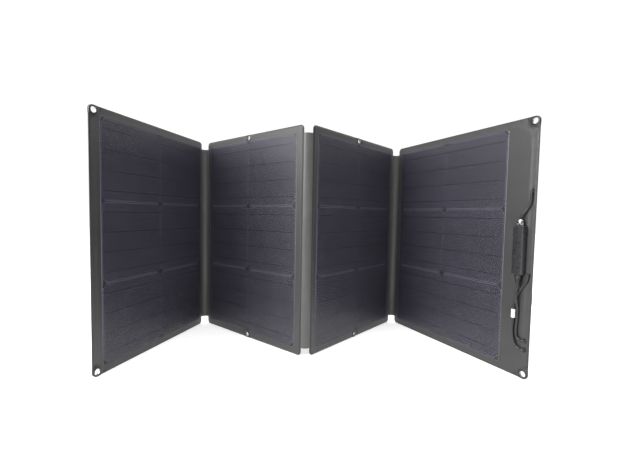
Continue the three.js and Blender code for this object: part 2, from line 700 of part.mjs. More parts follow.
// Stands on Z = 0, with the middle of everything but the leads over the origin.
second.rotation.z = THREE.MathUtils.degToRad(PANEL_2_HEADING);
group.updateMatrixWorld(true);
const extent = new THREE.Box3();
group.traverse((node) => {
  if (node.isMesh && !CORD_NODES.includes(node.name)) extent.expandByObject(node, true);
});
const middle = extent.getCenter(new THREE.Vector3());
second.position.set(-middle.x, -middle.y, 0);

export default group;
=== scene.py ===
"""The looks of the folding solar blanket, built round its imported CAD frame. Lengths are in metres."""

import json
import math

import bmesh
import bpy
import numpy as np
from mathutils import Matrix, Vector, noise
from mathutils.geometry import delaunay_2d_cdt

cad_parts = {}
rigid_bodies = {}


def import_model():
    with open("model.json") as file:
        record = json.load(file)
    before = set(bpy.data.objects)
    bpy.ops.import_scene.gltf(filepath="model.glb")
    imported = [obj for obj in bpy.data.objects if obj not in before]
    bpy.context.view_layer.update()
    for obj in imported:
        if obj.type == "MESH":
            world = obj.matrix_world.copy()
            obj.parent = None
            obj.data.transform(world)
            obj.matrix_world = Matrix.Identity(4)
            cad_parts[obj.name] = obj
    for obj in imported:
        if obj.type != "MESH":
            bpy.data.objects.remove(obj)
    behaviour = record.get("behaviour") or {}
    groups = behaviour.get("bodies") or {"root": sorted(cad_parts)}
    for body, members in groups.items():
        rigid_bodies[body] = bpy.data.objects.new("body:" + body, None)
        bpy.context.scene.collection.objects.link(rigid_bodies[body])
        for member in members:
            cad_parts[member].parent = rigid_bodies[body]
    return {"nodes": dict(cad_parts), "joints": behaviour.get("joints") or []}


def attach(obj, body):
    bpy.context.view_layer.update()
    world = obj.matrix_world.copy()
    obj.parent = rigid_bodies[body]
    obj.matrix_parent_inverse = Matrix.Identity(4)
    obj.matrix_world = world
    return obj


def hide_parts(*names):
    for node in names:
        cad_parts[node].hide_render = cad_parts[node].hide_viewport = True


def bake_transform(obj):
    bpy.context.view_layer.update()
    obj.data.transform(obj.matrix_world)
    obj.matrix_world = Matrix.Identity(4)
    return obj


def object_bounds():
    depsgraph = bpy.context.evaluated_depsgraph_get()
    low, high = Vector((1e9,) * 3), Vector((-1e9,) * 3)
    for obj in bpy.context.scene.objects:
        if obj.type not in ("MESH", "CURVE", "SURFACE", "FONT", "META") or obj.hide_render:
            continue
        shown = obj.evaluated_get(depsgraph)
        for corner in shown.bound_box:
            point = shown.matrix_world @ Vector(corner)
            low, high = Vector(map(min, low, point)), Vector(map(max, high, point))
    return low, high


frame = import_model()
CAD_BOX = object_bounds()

MM = 0.001

# ---- Sizes repeated from the part ----
#
# A panel's own frame has X across it from its left edge, Y from its front (negative) to its back, with 0
# at the middle of the board, and Z up from its bottom edge.

PANEL_HEIGHT = 508 * MM
PANEL_WIDTH = 350 * MM
STRIP_WIDTH = 45 * MM
CORNER_RADIUS = 9 * MM
PANELS = {
    1: {"width": PANEL_WIDTH, "cell_shift": 6 * MM, "free_edge": "left"},
    2: {"width": PANEL_WIDTH, "cell_shift": -2 * MM, "free_edge": None},
    3: {"width": PANEL_WIDTH, "cell_shift": -1 * MM, "free_edge": None},
    4: {"width": PANEL_WIDTH + STRIP_WIDTH, "cell_shift": 1 * MM, "free_edge": "right"},
}

AXIS_INSET = 10 * MM
VALLEY_AXIS_Y = -4.5 * MM
MOUNTAIN_AXIS_Y = 3.9 * MM
GAP = 0.3 * MM
WEB_THICKNESS = 1.2 * MM
WEB_NOTCH = 18 * MM

COVER_RIM = 3 * MM
BOARD_CHAMFER = 26 * MM
NOTCH_DEPTH = 18 * MM
NOTCH_HALF_WIDTH = 12 * MM
NOTCH_RADIUS = 4 * MM

CELL = 156 * MM
CELL_PITCH = 158 * MM
CELL_CUT = 8 * MM
CELL_BACK = 2.4 * MM
CELL_FACE = 2.8 * MM
CELL_ROWS = ("bottom", "middle", "top")
CELL_MIDDLE = (PANEL_HEIGHT - len(CELL_ROWS) * CELL_PITCH + CELL_PITCH) / 2
CELL_COLUMNS = 2
RIBBONS = 4
RIBBON_WIDTH = 1.4 * MM
RIBBON_PROUD = 0.15 * MM
RIBBON_END = 4 * MM
FILM_MARGIN = 3 * MM
FILM_RADIUS = 4 * MM

CORNER_EYELET = {"bore": 5.5 * MM, "flange": 8.3 * MM, "inset": 9.2 * MM}
MIDDLE_EYELET = {"bore": 5.2 * MM, "flange": 7.0 * MM, "inset": 7.7 * MM}
MIDDLE_EYELET_X = 172 * MM
EYELET_WALL = 0.5 * MM
FLANGE_THICKNESS = 0.5 * MM

BOX = (361.5 * MM, 204 * MM, 382.5 * MM, 300 * MM)
BOX_BACK = -2.4 * MM
BOX_SPLIT = (-10.4 * MM, -10.7 * MM)
BOX_FACE = -15.4 * MM
BOX_FRAME = {"width": 13 * MM, "height": 32 * MM, "band": 1.4 * MM, "proud": 0.6 * MM, "radius": 4 * MM}
INLINE_X = 372 * MM
INLINE_Y = -8.9 * MM
TOP_GLAND_LENGTH = 13 * MM
BOTTOM_GLAND_LENGTH = 19 * MM

JUNCTION = (353.6 * MM, 252 * MM, 384.6 * MM, 334 * MM)
JUNCTION_LEVELS = {"base": 2.6 * MM, "split": 12.6 * MM, "lid": 12.9 * MM, "top": 15.9 * MM}
JUNCTION_GLAND = {"x": 376 * MM, "y": 8.6 * MM, "length": 10 * MM}

LEAD_DIAMETER = 4.6 * MM
LEAD_FRONT_Y = -5.0 * MM
LEAD_BACK_Y = 5.2 * MM
LEAD_HOLE_X = 388.1 * MM
LEAD_HOLE_HEIGHTS = {"a_upper": 368 * MM, "b_upper": 206 * MM, "a_lower": 76 * MM, "b_lower": 58 * MM}
MARKER = {"x": 364.5 * MM, "y": -6.3 * MM, "bottom": 117 * MM, "length": 17 * MM, "radius": 3.8 * MM}
CONNECTOR = {"bottom": 108 * MM, "y": 10.6 * MM}
CONNECTOR_X = {"a": 379 * MM, "b": 362 * MM}
BAND = {"bottom": 146 * MM, "top": 166 * MM, "left": 352.6 * MM, "right": 388.6 * MM, "thickness": 0.9 * MM}

# ---- Sizes of the looks ----

SHELF = {"drop": 0.55 * MM, "start": 6.5 * MM, "width": 3 * MM}
FRONT = {"side": -1, "face": 2.1 * MM, "rim": 0.95 * MM, "flange": 2.4 * MM}
BACK = {"side": 1, "face": 2.3 * MM, "rim": 1.45 * MM, "flange": 2.6 * MM}
LINING = {"board": 1.35 * MM, "rim": 0.05 * MM}
EDGE_ROUND = 0.8 * MM
SKIN_STEP = 5 * MM
LINING_STEP = 30 * MM
MARK_ROOM = 1.2 * MM
HOLE_SIDES = 28
EYELET_SIDES = 48

FILM_THICKNESS = 0.3 * MM
FILM_EDGE = 2.5 * MM
FILM_FACE = 3.35 * MM
FILM_STEP = 6 * MM
HAZE = {"cell": 0.14, "ribbon": 0.08, "gap": 0.08}

LEAD_SLIT = 2.9 * MM

CAMERA = {"place": (-0.02019, -0.81907, 0.31493), "yaw": -0.0051, "pitch": 0.0531, "roll": 0.0176}
LENS = {"focal": 19.629, "sensor": 36.0, "shift": (0.0068, -0.0048)}
FLOOR_SIZE = 12.0
SURROUND = {"behind": 1.06, "horizon": 0.05, "overhead": 0.95}


# ---- Placing the panels ----


def plan_turn(angle):
    return np.array([[math.cos(angle), -math.sin(angle)], [math.sin(angle), math.cos(angle)]])


def panel_places():
    """Each panel's matrix, from the joints' axes and from the angle that each joint is short of flat."""
    axes = {j["name"]: np.array(j["pos_m"][:2]) for j in frame["joints"]}
    bent = {j["name"]: math.radians(-j["range_deg"][0]) for j in frame["joints"]}
    left_valley = np.array([-AXIS_INSET, VALLEY_AXIS_Y])
    right_mountain = np.array([PANEL_WIDTH + AXIS_INSET, MOUNTAIN_AXIS_Y])
    span = axes["fold_23"] - axes["fold_12"]
    local = right_mountain - left_valley
    second = math.atan2(span[1], span[0]) - math.atan2(local[1], local[0])
    third = second + bent["fold_23"]
    headings = {1: second + bent["fold_12"], 2: second, 3: third, 4: third - bent["fold_34"]}
    anchors = {
        1: ("fold_12", np.array([PANEL_WIDTH + AXIS_INSET, VALLEY_AXIS_Y])),
        2: ("fold_12", left_valley),
        3: ("fold_23", np.array([-AXIS_INSET, MOUNTAIN_AXIS_Y])),
        4: ("fold_34", left_valley),
    }
    places = {}
    for panel, (joint, anchor) in anchors.items():
        x, y = axes[joint] - plan_turn(headings[panel]) @ anchor
        places[panel] = Matrix.Translation((x, y, 0)) @ Matrix.Rotation(headings[panel], 4, "Z")
    return places


PLACES = panel_places()


# ---- Outlines, as points anticlockwise in a panel's X and Z ----


def smooth(t):
    t = np.clip(t, 0, 1)
    return t * t * (3 - 2 * t)


def rounded_rectangle(box, radius, inset=0.0, step=4 * MM, arc_steps=6):
    """A rounded rectangle (left, bottom, right, top). Every inset of it has the same number of points."""
    left, bottom, right, top = box
    sides = [top - bottom - 2 * radius, right - left - 2 * radius] * 2
    reach = max(radius, inset + 0.05 * MM)
    centres = [
        (right - reach, bottom + reach), (right - reach, top - reach),
        (left + reach, top - reach), (left + reach, bottom + reach),
    ]
    arcs = []
    for i, (x, z) in enumerate(centres):
        angles = np.radians(90 * (i - 1) + np.linspace(0, 90, arc_steps + 1))
        turn = np.column_stack([np.cos(angles), np.sin(angles)])
        arcs.append(np.array([x, z]) + (reach - inset) * turn)
    points = []
    for i, arc in enumerate(arcs):
        count = max(1, round(sides[i] / step))
        share = np.linspace(0, 1, count + 1)[1:-1, None]
        points += [arc, arc[-1] + (arcs[(i + 1) % 4][0] - arc[-1]) * share]
    return np.vstack(points)


def circle(x, z, radius, sides=HOLE_SIDES):
    angles = np.linspace(0, 2 * math.pi, sides, endpoint=False)
    return np.column_stack([x + radius * np.cos(angles), z + radius * np.sin(angles)])


def rounded_polygon(corners, arc_steps=4):
    """Points round corners (x, z, radius)."""
    at = [np.array(corner[:2]) for corner in corners]
    points = []
    for i, (_, _, radius) in enumerate(corners):
        before = at[i - 1] - at[i]
        after = at[(i + 1) % len(at)] - at[i]
        before *= radius / np.linalg.norm(before)
        after *= radius / np.linalg.norm(after)
        shares = np.linspace(0, 1, arc_steps + 1) if radius else [0]
        points += [at[i] + before * (1 - t) ** 2 + after * t**2 for t in shares]
    return np.array(points)


def resampled(loop, step):
    """The same closed line with more points along its long stretches."""
    points = []
    for a, b in zip(loop, np.roll(loop, -1, axis=0)):
        count = max(1, round(np.linalg.norm(b - a) / step))
        points += [a + (b - a) * i / count for i in range(count)]
    return np.array(points)


def board_outline(spec, margin=0.0):
    """The board's outline, grown by margin: cut off at the free corners, notched at the middle eyelets."""
    inset = COVER_RIM + GAP - margin
    left, right, top = inset, spec["width"] - inset, PANEL_HEIGHT - inset
    half = NOTCH_HALF_WIDTH - margin
    chamfer = BOARD_CHAMFER - margin * math.sqrt(2)

    def corner(side, x, z):
        if spec["free_edge"] != side:
            return [(x, z, max(CORNER_RADIUS - inset, 1 * MM))]
        inward = chamfer if side == "left" else -chamfer
        up = chamfer if z == inset else -chamfer
        ends = [(x, z + up, 0), (x + inward, z, 0)]
        return ends if (side == "left") == (z == inset) else ends[::-1]

    def notch(edge, floor, sign):
        near, far = MIDDLE_EYELET_X + sign * half, MIDDLE_EYELET_X - sign * half
        if spec["free_edge"]:
            return []
        return [(near, edge, 0), (near, floor, NOTCH_RADIUS), (far, floor, NOTCH_RADIUS), (far, edge, 0)]

    return rounded_polygon([
        *corner("left", left, inset),
        *notch(inset, NOTCH_DEPTH - margin, -1),
        *corner("right", right, inset),
        *corner("right", right, top),
        *notch(top, PANEL_HEIGHT - NOTCH_DEPTH + margin, 1),
        *corner("left", left, top),
    ])


def inside(points, loop):
    a, b = loop, np.roll(loop, -1, axis=0)
    x, z = points[:, 0, None], points[:, 1, None]
    spans = (a[:, 1] > z) != (b[:, 1] > z)
    rise = np.where(b[:, 1] == a[:, 1], 1, b[:, 1] - a[:, 1])
    crossing = a[:, 0] + (z - a[:, 1]) * (b[:, 0] - a[:, 0]) / rise
    return (spans & (x < crossing)).sum(axis=1) % 2 == 1


def depth_inside(points, loop):
    """How far each point is inside a closed line; negative outside it."""
    along = np.roll(loop, -1, axis=0) - loop
    away = points[:, None] - loop[None]
    share = np.clip((away * along).sum(-1) / (along * along).sum(-1), 0, 1)
    distance = np.linalg.norm(away - share[..., None] * along, axis=-1).min(axis=1)
    return np.where(inside(points, loop), distance, -distance)


def lattice(xs, zs):
    return np.array([(x, z) for x in xs for z in zs])


def stops(low, high, step, extra=()):
    """Values about a step apart from low to high, with the extra ones and none close beside those."""
    extra = sorted(extra)
    even = np.linspace(low, high, round((high - low) / step) + 1)
    apart = [v for v in even if all(abs(v - e) > 0.35 * step for e in extra)]
    return sorted([*apart, *extra])


# ---- Meshes ----


def bridge(first, second):
    """Quads between two closed rows of vertices."""
    count = len(first)
    return [(first[i], first[(i + 1) % count], second[(i + 1) % count], second[i]) for i in range(count)]


def merged(*meshes):
    """Several closed bodies as one mesh."""
    points, faces = [], []
    for some_points, some_faces in meshes:
        start = len(points)
        points += [tuple(p) for p in some_points]
        faces += [tuple(start + i for i in face) for face in some_faces]
    return points, faces


def loft(loops, ring=False):
    """A body through loops of points: capped at its ends, or closed on itself."""
    count = len(loops[0])
    rows = [list(range(i * count, (i + 1) * count)) for i in range(len(loops))]
    faces = [face for a, b in zip(rows, rows[1:]) for face in bridge(a, b)]
    faces += bridge(rows[-1], rows[0]) if ring else [tuple(rows[0]), tuple(rows[-1])]
    return [tuple(p) for loop in loops for p in loop], faces


def steps(out, base, pairs):
    """(out, along) pairs in millimetres as a profile that starts from two lengths."""
    return [(out + x * MM, base + y * MM) for x, y in pairs]


def at_level(outline, y):
    return [(x, y, z) for x, z in outline]


def rounded_block(box, radius, profile, ring=False, step=12 * MM):
    """A rounded rectangle lofted along (inset, y) pairs."""
    outlines = [at_level(rounded_rectangle(box, radius, inset, step), y) for inset, y in profile]
    return loft(outlines, ring)


def turned(profile, sides=32, at=(0, 0, 0), ring=False, flute=0.0):
    """A solid turned about a vertical axis from (radius, z) pairs in millimetres, with flutes cut in it."""
    loops = []
    for radius, z in profile:
        loop = []
        for i in range(sides):
            angle = 2 * math.pi * i / sides
            r = (radius - (flute if i % 4 in (0, 1) else 0)) * MM
            loop.append((at[0] + r * math.cos(angle), at[1] + r * math.sin(angle), at[2] + z * MM))
        loops.append(loop)
    return loft(loops, ring)


def clear_of(points, holes, room):
    clear = np.full(len(points), True)
    for hole in holes:
        middle = hole.mean(axis=0)
        clear &= np.linalg.norm(points - middle, axis=1) > np.linalg.norm(hole[0] - middle) + room
    return clear


def filled(outline, holes, marks, grid):
    """Triangles that fill an outline round its holes and keep to the marks, and each loop's vertices."""
    loops = [outline, *holes, *marks]
    starts = np.cumsum([0] + [len(loop) for loop in loops])
    border = np.vstack(loops)
    kept = np.full(len(border), True)
    kept[starts[1 + len(holes)]:] = clear_of(border[starts[1 + len(holes)]:], holes, MARK_ROOM)
    edges = []
    for loop, start in zip(loops, starts):
        pairs = [(int(start + i), int(start + (i + 1) % len(loop))) for i in range(len(loop))]
        edges += [pair for pair in pairs if kept[pair[0]] and kept[pair[1]]]
    room = np.linalg.norm(grid[:, None] - border[None], axis=2).min(axis=1)
    keep = (room > 0.9 * MM) & inside(grid, outline) & clear_of(grid, holes, 0)
    border[~kept] = border[0]
    every = [Vector(p) for p in np.vstack([border, grid[keep]])]
    points, _, faces, sources, _, _ = delaunay_2d_cdt(every, edges, [], 1, 1e-7)
    points = np.array(points)
    faces = np.array(faces)
    centres = points[faces].mean(axis=1)
    solid = inside(centres, outline) & clear_of(centres, holes, -0.1 * MM)
    found = {source: i for i, group in enumerate(sources) for source in group}
    rows = [[found[start + i] for i in range(len(loop))] for loop, start in zip(loops, starts)]
    return points, faces[solid], rows[: 1 + len(holes)]


def sheet_body(outline, holes, marks, grids, levels, side, rounding):
    """A closed sheet whose outer face and lining are at these distances from the board's middle."""
    face, triangles, rows = filled(outline(rounding), holes, marks, grids[0])
    lining, lining_triangles, lining_rows = filled(outline(0), holes, [], grids[1])
    height = levels[0](face)
    points = [(x, side * h, z) for (x, z), h in zip(face, height)]
    faces = [tuple(int(i) for i in t) for t in triangles]
    row = rows[0]
    for angle in np.radians((30, 60, 90)):
        start = len(points)
        drop = rounding * (1 - math.cos(angle))
        edge = outline(rounding * (1 - math.sin(angle)))
        points += [(x, side * (height[i] - drop), z) for (x, z), i in zip(edge, rows[0])]
        faces += bridge(row, list(range(start, len(points))))
        row = list(range(start, len(points)))
    start = len(points)
    points += [(x, side * h, z) for (x, z), h in zip(lining, levels[1](lining))]
    faces += [tuple(int(start + i) for i in t) for t in lining_triangles]
    faces += bridge(row, [start + i for i in lining_rows[0]])
    for hole, lining_hole in zip(rows[1:], lining_rows[1:]):
        faces += bridge(hole, [start + i for i in lining_hole])
    return points, faces


def add_piece(name, body, looks, panel, stands_for=(), crease=32, sort=None):
    """Adds a mesh in a panel's frame, riding on that panel. sort gives a face's look from its centre."""
    mesh = bpy.data.meshes.new(name)
    mesh.from_pydata([tuple(p) for p in body[0]], [], [tuple(f) for f in body[1]])
    edit = bmesh.new()
    edit.from_mesh(mesh)
    bmesh.ops.recalc_face_normals(edit, faces=edit.faces)
    edit.to_mesh(mesh)
    edit.free()
    mesh.shade_smooth()
    mesh.set_sharp_from_angle(angle=math.radians(crease))
    for look in looks if isinstance(looks, list) else [looks]:
        mesh.materials.append(look)
    if sort:
        for polygon in mesh.polygons:
            polygon.material_index = sort(polygon.center, polygon.normal)
    piece = bpy.data.objects.new(name, mesh)
    bpy.context.scene.collection.objects.link(piece)
    piece.matrix_world = PLACES[panel]
    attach(piece, f"panel_{panel}")
    if stands_for:
        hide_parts(*stands_for)
    return piece


# ---- Materials ----


class Look:
    """A material with one Principled shader, and short ways to drive its colour, roughness and bump."""

    def __init__(self, name, color, roughness, **sockets):
        self.material = bpy.data.materials.new(name)
        self.material.use_nodes = True
        self.tree = self.material.node_tree
        self.shader = self.tree.nodes["Principled BSDF"]
        self.color = color
        self.set("Base Color", (*color, 1))
        self.set("Roughness", roughness)
        for socket, value in sockets.items():
            self.set(socket.replace("_", " ").title().replace("Ior", "IOR"), value)
        self.place = self.node("ShaderNodeTexCoord").outputs["Object"]

    def set(self, socket, value):
        self.shader.inputs[socket].default_value = value

    def node(self, kind, links=(), **settings):
        node = self.tree.nodes.new(kind)
        for key, value in settings.items():
            setattr(node, key, value)
        for socket, source in dict(links).items():
            if isinstance(source, bpy.types.NodeSocket):
                self.tree.links.new(source, node.inputs[socket])
            else:
                node.inputs[socket].default_value = source
        return node

    def from_attribute(self, name):
        """Lays the textures out by a mesh attribute instead of by the object's own frame."""
        self.place = self.node("ShaderNodeAttribute", attribute_name=name).outputs["Vector"]
        return self

    def stretched(self, scale):
        links = {0: self.place, 1: scale}
        return self.node("ShaderNodeVectorMath", links, operation="MULTIPLY").outputs[0]

    def noise(self, size, detail=2.0, stretch=(1, 1, 1)):
        links = {"Vector": self.stretched(stretch), "Scale": 1 / size, "Detail": detail}
        return self.node("ShaderNodeTexNoise", links).outputs[0]

    def bands(self, pitch, axis, distortion=0.0, phase=0.0):
        scale = 2 * math.pi / 20 / pitch
        links = {"Vector": self.place, "Scale": scale, "Distortion": distortion, "Phase Offset": phase}
        return self.node("ShaderNodeTexWave", links, bands_direction=axis).outputs["Fac"]

    def maths(self, operation, a, b=0.0):
        return self.node("ShaderNodeMath", {0: a, 1: b}, operation=operation).outputs[0]

    def ranged(self, value, low, high, to_low=0.0, to_high=1.0):
        links = {"Value": value, "From Min": low, "From Max": high, "To Min": to_low, "To Max": to_high}
        return self.node("ShaderNodeMapRange", links).outputs[0]

    def tint(self, factor, low, high):
        """Colours from low to high times the base colour, by a factor."""
        links = {
            "Factor": factor,
            "A": (*[c * low for c in self.color], 1),
            "B": (*[c * high for c in self.color], 1),
        }
        return self.mixed(links)

    def mixed(self, links):
        mix = self.node("ShaderNodeMix", data_type="RGBA")
        sockets = {"Factor": mix.inputs[0], "A": mix.inputs[6], "B": mix.inputs[7]}
        for key, source in links.items():
            if isinstance(source, bpy.types.NodeSocket):
                self.tree.links.new(source, sockets[key])
            else:
                sockets[key].default_value = source
        return mix.outputs[2]

    def paint(self, output, socket="Base Color"):
        self.tree.links.new(output, self.shader.inputs[socket])
        return self

    def bump(self, height, distance, strength=1.0, over=None):
        links = {"Height": height, "Distance": distance, "Strength": strength}
        if over:
            links["Normal"] = over
        normal = self.node("ShaderNodeBump", links).outputs[0]
        self.paint(normal, "Normal")
        return normal


def woven(name, color, roughness, pitch, attribute=None, depth=0.06 * MM, rim=None, **sockets):
    """A plain-weave cloth with a grain, slow random changes of tone, soft creases and maybe painted shade
    along its rim.
    """
    look = Look(name, color, roughness, **sockets)
    if attribute:
        look.from_attribute(attribute)
    warp = look.bands(pitch, "X", 0.6)
    weft = look.bands(pitch, "Z", 0.6)
    weave = look.maths("MULTIPLY", warp, weft)
    grain = look.noise(1.1 * MM, 4)
    shade = look.noise(38 * MM, 3)
    blotch = look.maths("ADD", look.maths("MULTIPLY", shade, 0.65), look.maths("MULTIPLY", grain, 0.35))
    # Painted shade: where the rim attribute is low, off the board along the panel's edge, the colour falls
    # to 0.35 times.
    if rim:
        inner = look.node("ShaderNodeAttribute", attribute_name=rim).outputs["Fac"]
        rim_painted_shade = look.maths("MULTIPLY", inner, look.ranged(blotch, 0.3, 0.7, 0.6, 1.0))
        look.paint(look.tint(rim_painted_shade, 0.35, 1.15))
    else:
        look.paint(look.tint(look.ranged(blotch, 0.3, 0.7), 0.84, 1.16))
    worn = look.ranged(look.noise(9 * MM, 4), 0.3, 0.7, roughness - 0.06, roughness + 0.07)
    look.paint(worn, "Roughness")
    creases = look.bump(look.noise(26 * MM, 3, (1, 1, 0.55)), 0.5 * MM, 0.35)
    threads = look.maths("ADD", weave, look.maths("MULTIPLY", grain, 0.6))
    look.bump(threads, depth, 0.8, creases)
    return look.material


def moulded(name, color, roughness, grain=0.5 * MM, depth=0.03 * MM, **sockets):
    """A spark-textured moulding with faint handling marks."""
    look = Look(name, color, roughness, **sockets)
    look.paint(look.tint(look.ranged(look.noise(16 * MM, 3), 0.3, 0.7), 0.88, 1.14))
    marks = look.ranged(look.noise(7 * MM, 5), 0.35, 0.7, roughness - 0.05, roughness + 0.08)
    look.paint(marks, "Roughness")
    look.bump(look.noise(grain, 2), depth, 0.7)
    return look.material


def cell_look():
    """Dark violet silicon with faint fingers running up it, across the ribbons, and painted highlight
    towards each cell's top and bottom ends.
    """
    look = Look("silicon", (0.0282, 0.0264, 0.0388), 0.38)
    finger = look.ranged(look.bands(1.6 * MM, "X"), 0.86, 1.0, 0.0, 0.3)
    cloud = look.ranged(look.noise(70 * MM, 2, (1.6, 1, 0.5)), 0.3, 0.7, 0.25, 0.75)
    # Painted highlight: each cell is made lighter towards its top and bottom ends, near the gaps between
    # rows.
    ends = look.bands(CELL_PITCH, "Z", phase=-2 * math.pi * CELL_MIDDLE / CELL_PITCH)
    base = look.tint(look.maths("ADD", cloud, look.ranged(ends, 0.3, 1.0, 0.0, 0.3)), 0.72, 1.2)
    look.paint(look.mixed({"Factor": finger, "A": base, "B": (0.06, 0.06, 0.07, 1)}))
    return look.material


def film_look():
    """The clear cover film: satin, and drawn slightly uneven over what it covers."""
    look = Look("cover_film", (0.050, 0.048, 0.062), 0.42, ior=1.46)
    look.paint(look.tint(look.ranged(look.noise(55 * MM, 3), 0.3, 0.7), 0.9, 1.12))
    haze = look.node("ShaderNodeAttribute", attribute_name="haze").outputs["Fac"]
    cloud = look.ranged(look.noise(24 * MM, 3), 0.3, 0.7, 0.85, 1.15)
    look.paint(look.maths("MULTIPLY", haze, cloud), "Alpha")
    look.bump(look.noise(34 * MM, 2), 0.35 * MM, 0.3)
    return look.material


def metal(name, color, roughness):
    look = Look(name, color, roughness, metallic=1.0)
    look.paint(look.tint(look.ranged(look.noise(3 * MM, 4), 0.3, 0.7), 0.85, 1.1))
    marks = look.ranged(look.noise(1.2 * MM, 4), 0.3, 0.7, roughness - 0.07, roughness + 0.1)
    look.paint(marks, "Roughness")
    look.bump(look.noise(0.6 * MM, 2), 0.01 * MM, 0.5)
    return look.material


def rubber(name, color):
    look = Look(name, color, 0.3, sheen_weight=0.08)
    look.paint(look.tint(look.ranged(look.noise(12 * MM, 3), 0.3, 0.7), 0.8, 1.25))
    look.bump(look.noise(0.8 * MM, 3), 0.03 * MM, 0.6)
    return look.material


LOOKS = {
    # The front fabric is painted darker along its low rim, from the inner attribute: painted shade.
    "front": woven("front_fabric", (0.0225, 0.0235, 0.0222), 0.42, 0.8 * MM, rim="inner", sheen_weight=0.12),
    "back": woven("rear_fabric", (0.030, 0.031, 0.032), 0.72, 1.1 * MM, depth=0.12 * MM, sheen_weight=0.2),
    "web": woven("hinge_fabric", (0.058, 0.0595, 0.057), 0.46, 0.8 * MM, "cloth", sheen_weight=0.15),
    "band": woven("elastic", (0.018, 0.018, 0.020), 0.78, 1.6 * MM, depth=0.25 * MM, sheen_weight=0.3),
    "laminate": moulded("cell_laminate", (0.007, 0.007, 0.009), 0.42),
    "cell": cell_look(),
    # Cell rims: partly the wafer's own paler edge, partly painted highlight; the top and bottom rims are
    # painted brighter than the side rims.
    "cell_end_rim_painted_highlight": moulded("cell_end_rim_painted_highlight", (0.105, 0.108, 0.150), 0.4),
    "cell_side": moulded("cell_side", (0.058, 0.059, 0.082), 0.4),
    "ribbon": metal("ribbon", (0.022, 0.021, 0.027), 0.42),
    "film": film_look(),
    # A paler band round the film's edge: painted highlight standing for light caught on its rounded edge.
    "film_edge_painted_highlight": moulded("film_edge_painted_highlight", (0.080, 0.078, 0.100), 0.4),
    "board": moulded("board_sheet", (0.03, 0.03, 0.032), 0.6),
    "eyelet": metal("eyelet_plating", (0.055, 0.055, 0.057), 0.34),
    "bore": metal("eyelet_bore", (0.34, 0.34, 0.345), 0.3),
    "housing": moulded("housing_plastic", (0.017, 0.017, 0.019), 0.30, depth=0.008 * MM),
    "gland": metal("gland_plating", (0.72, 0.72, 0.73), 0.2),
    "black": moulded("black_plastic", (0.016, 0.016, 0.018), 0.38),
    "circuit": moulded("circuit_board", (0.02, 0.10, 0.035), 0.4),
    "lead": rubber("lead_sheath", (0.010, 0.010, 0.011)),
    "seal": rubber("gland_seal", (0.012, 0.012, 0.013)),
    "marker": moulded("marker_sleeve", (0.88, 0.88, 0.86), 0.42),
}


# ---- Panels ----


def eyelets(panel):
    """A panel's eyelets, as (kind, x, z, end)."""
    spec = PANELS[panel]
    kind = CORNER_EYELET if spec["free_edge"] else MIDDLE_EYELET
    places = {"left": kind["inset"], "right": spec["width"] - kind["inset"], None: MIDDLE_EYELET_X}
    x = places[spec["free_edge"]]
    return [(kind, x, PANEL_HEIGHT - kind["inset"], "top"), (kind, x, kind["inset"], "bottom")]


def cell_corner(panel):
    """The lower left corner of the cells."""
    width = CELL_COLUMNS * CELL_PITCH - (CELL_PITCH - CELL)
    height = len(CELL_ROWS) * CELL_PITCH - (CELL_PITCH - CELL)
    left = (PANEL_WIDTH - width) / 2 + PANELS[panel]["cell_shift"]
    return left, (PANEL_HEIGHT - height) / 2


def film_box(panel):
    left, bottom = cell_corner(panel)
    right = left + CELL_COLUMNS * CELL_PITCH - (CELL_PITCH - CELL)
    top = bottom + len(CELL_ROWS) * CELL_PITCH - (CELL_PITCH - CELL)
    return (left - FILM_MARGIN, bottom - FILM_MARGIN, right + FILM_MARGIN, top + FILM_MARGIN)


def skin_height(panel, face):
    """The outer face's height: raised over the board, low along the rim, drawn up to the eyelets."""
    board = board_outline(PANELS[panel])

    def height(points):
        depth = depth_inside(points, board)
        over_board = smooth((depth + 2.0 * MM) / (2.4 * MM))
        level = face["rim"] + (face["face"] - face["rim"]) * over_board
        if PANELS[panel]["free_edge"]:
            level -= SHELF["drop"] * (1 - smooth((depth - SHELF["start"]) / SHELF["width"])) * over_board
        for kind, x, z, _ in eyelets(panel):
            away = np.hypot(points[:, 0] - x, points[:, 1] - z) - kind["flange"]
            drawn = 1 - smooth((away - 0.5 * MM) / (5 * MM))
            level += (face["flange"] - 0.1 * MM - level) * drawn
        calm = smooth(depth / (30 * MM)) if face is FRONT else 0
        strip = smooth((points[:, 0] - PANEL_WIDTH) / (15 * MM))
        swell = [noise.noise(Vector((x * 45, z * 16, panel * 7 + face["side"]))) for x, z in points]
        return level + np.array(swell) * MM * (0.16 * (1 - calm) + 0.1 * strip) * over_board
    return height


def skin_lining(panel):
    board = board_outline(PANELS[panel])

    def height(points):
        over_board = smooth((depth_inside(points, board) + 2.4 * MM) / (2.3 * MM))
        return LINING["rim"] + (LINING["board"] - LINING["rim"]) * over_board
    return height


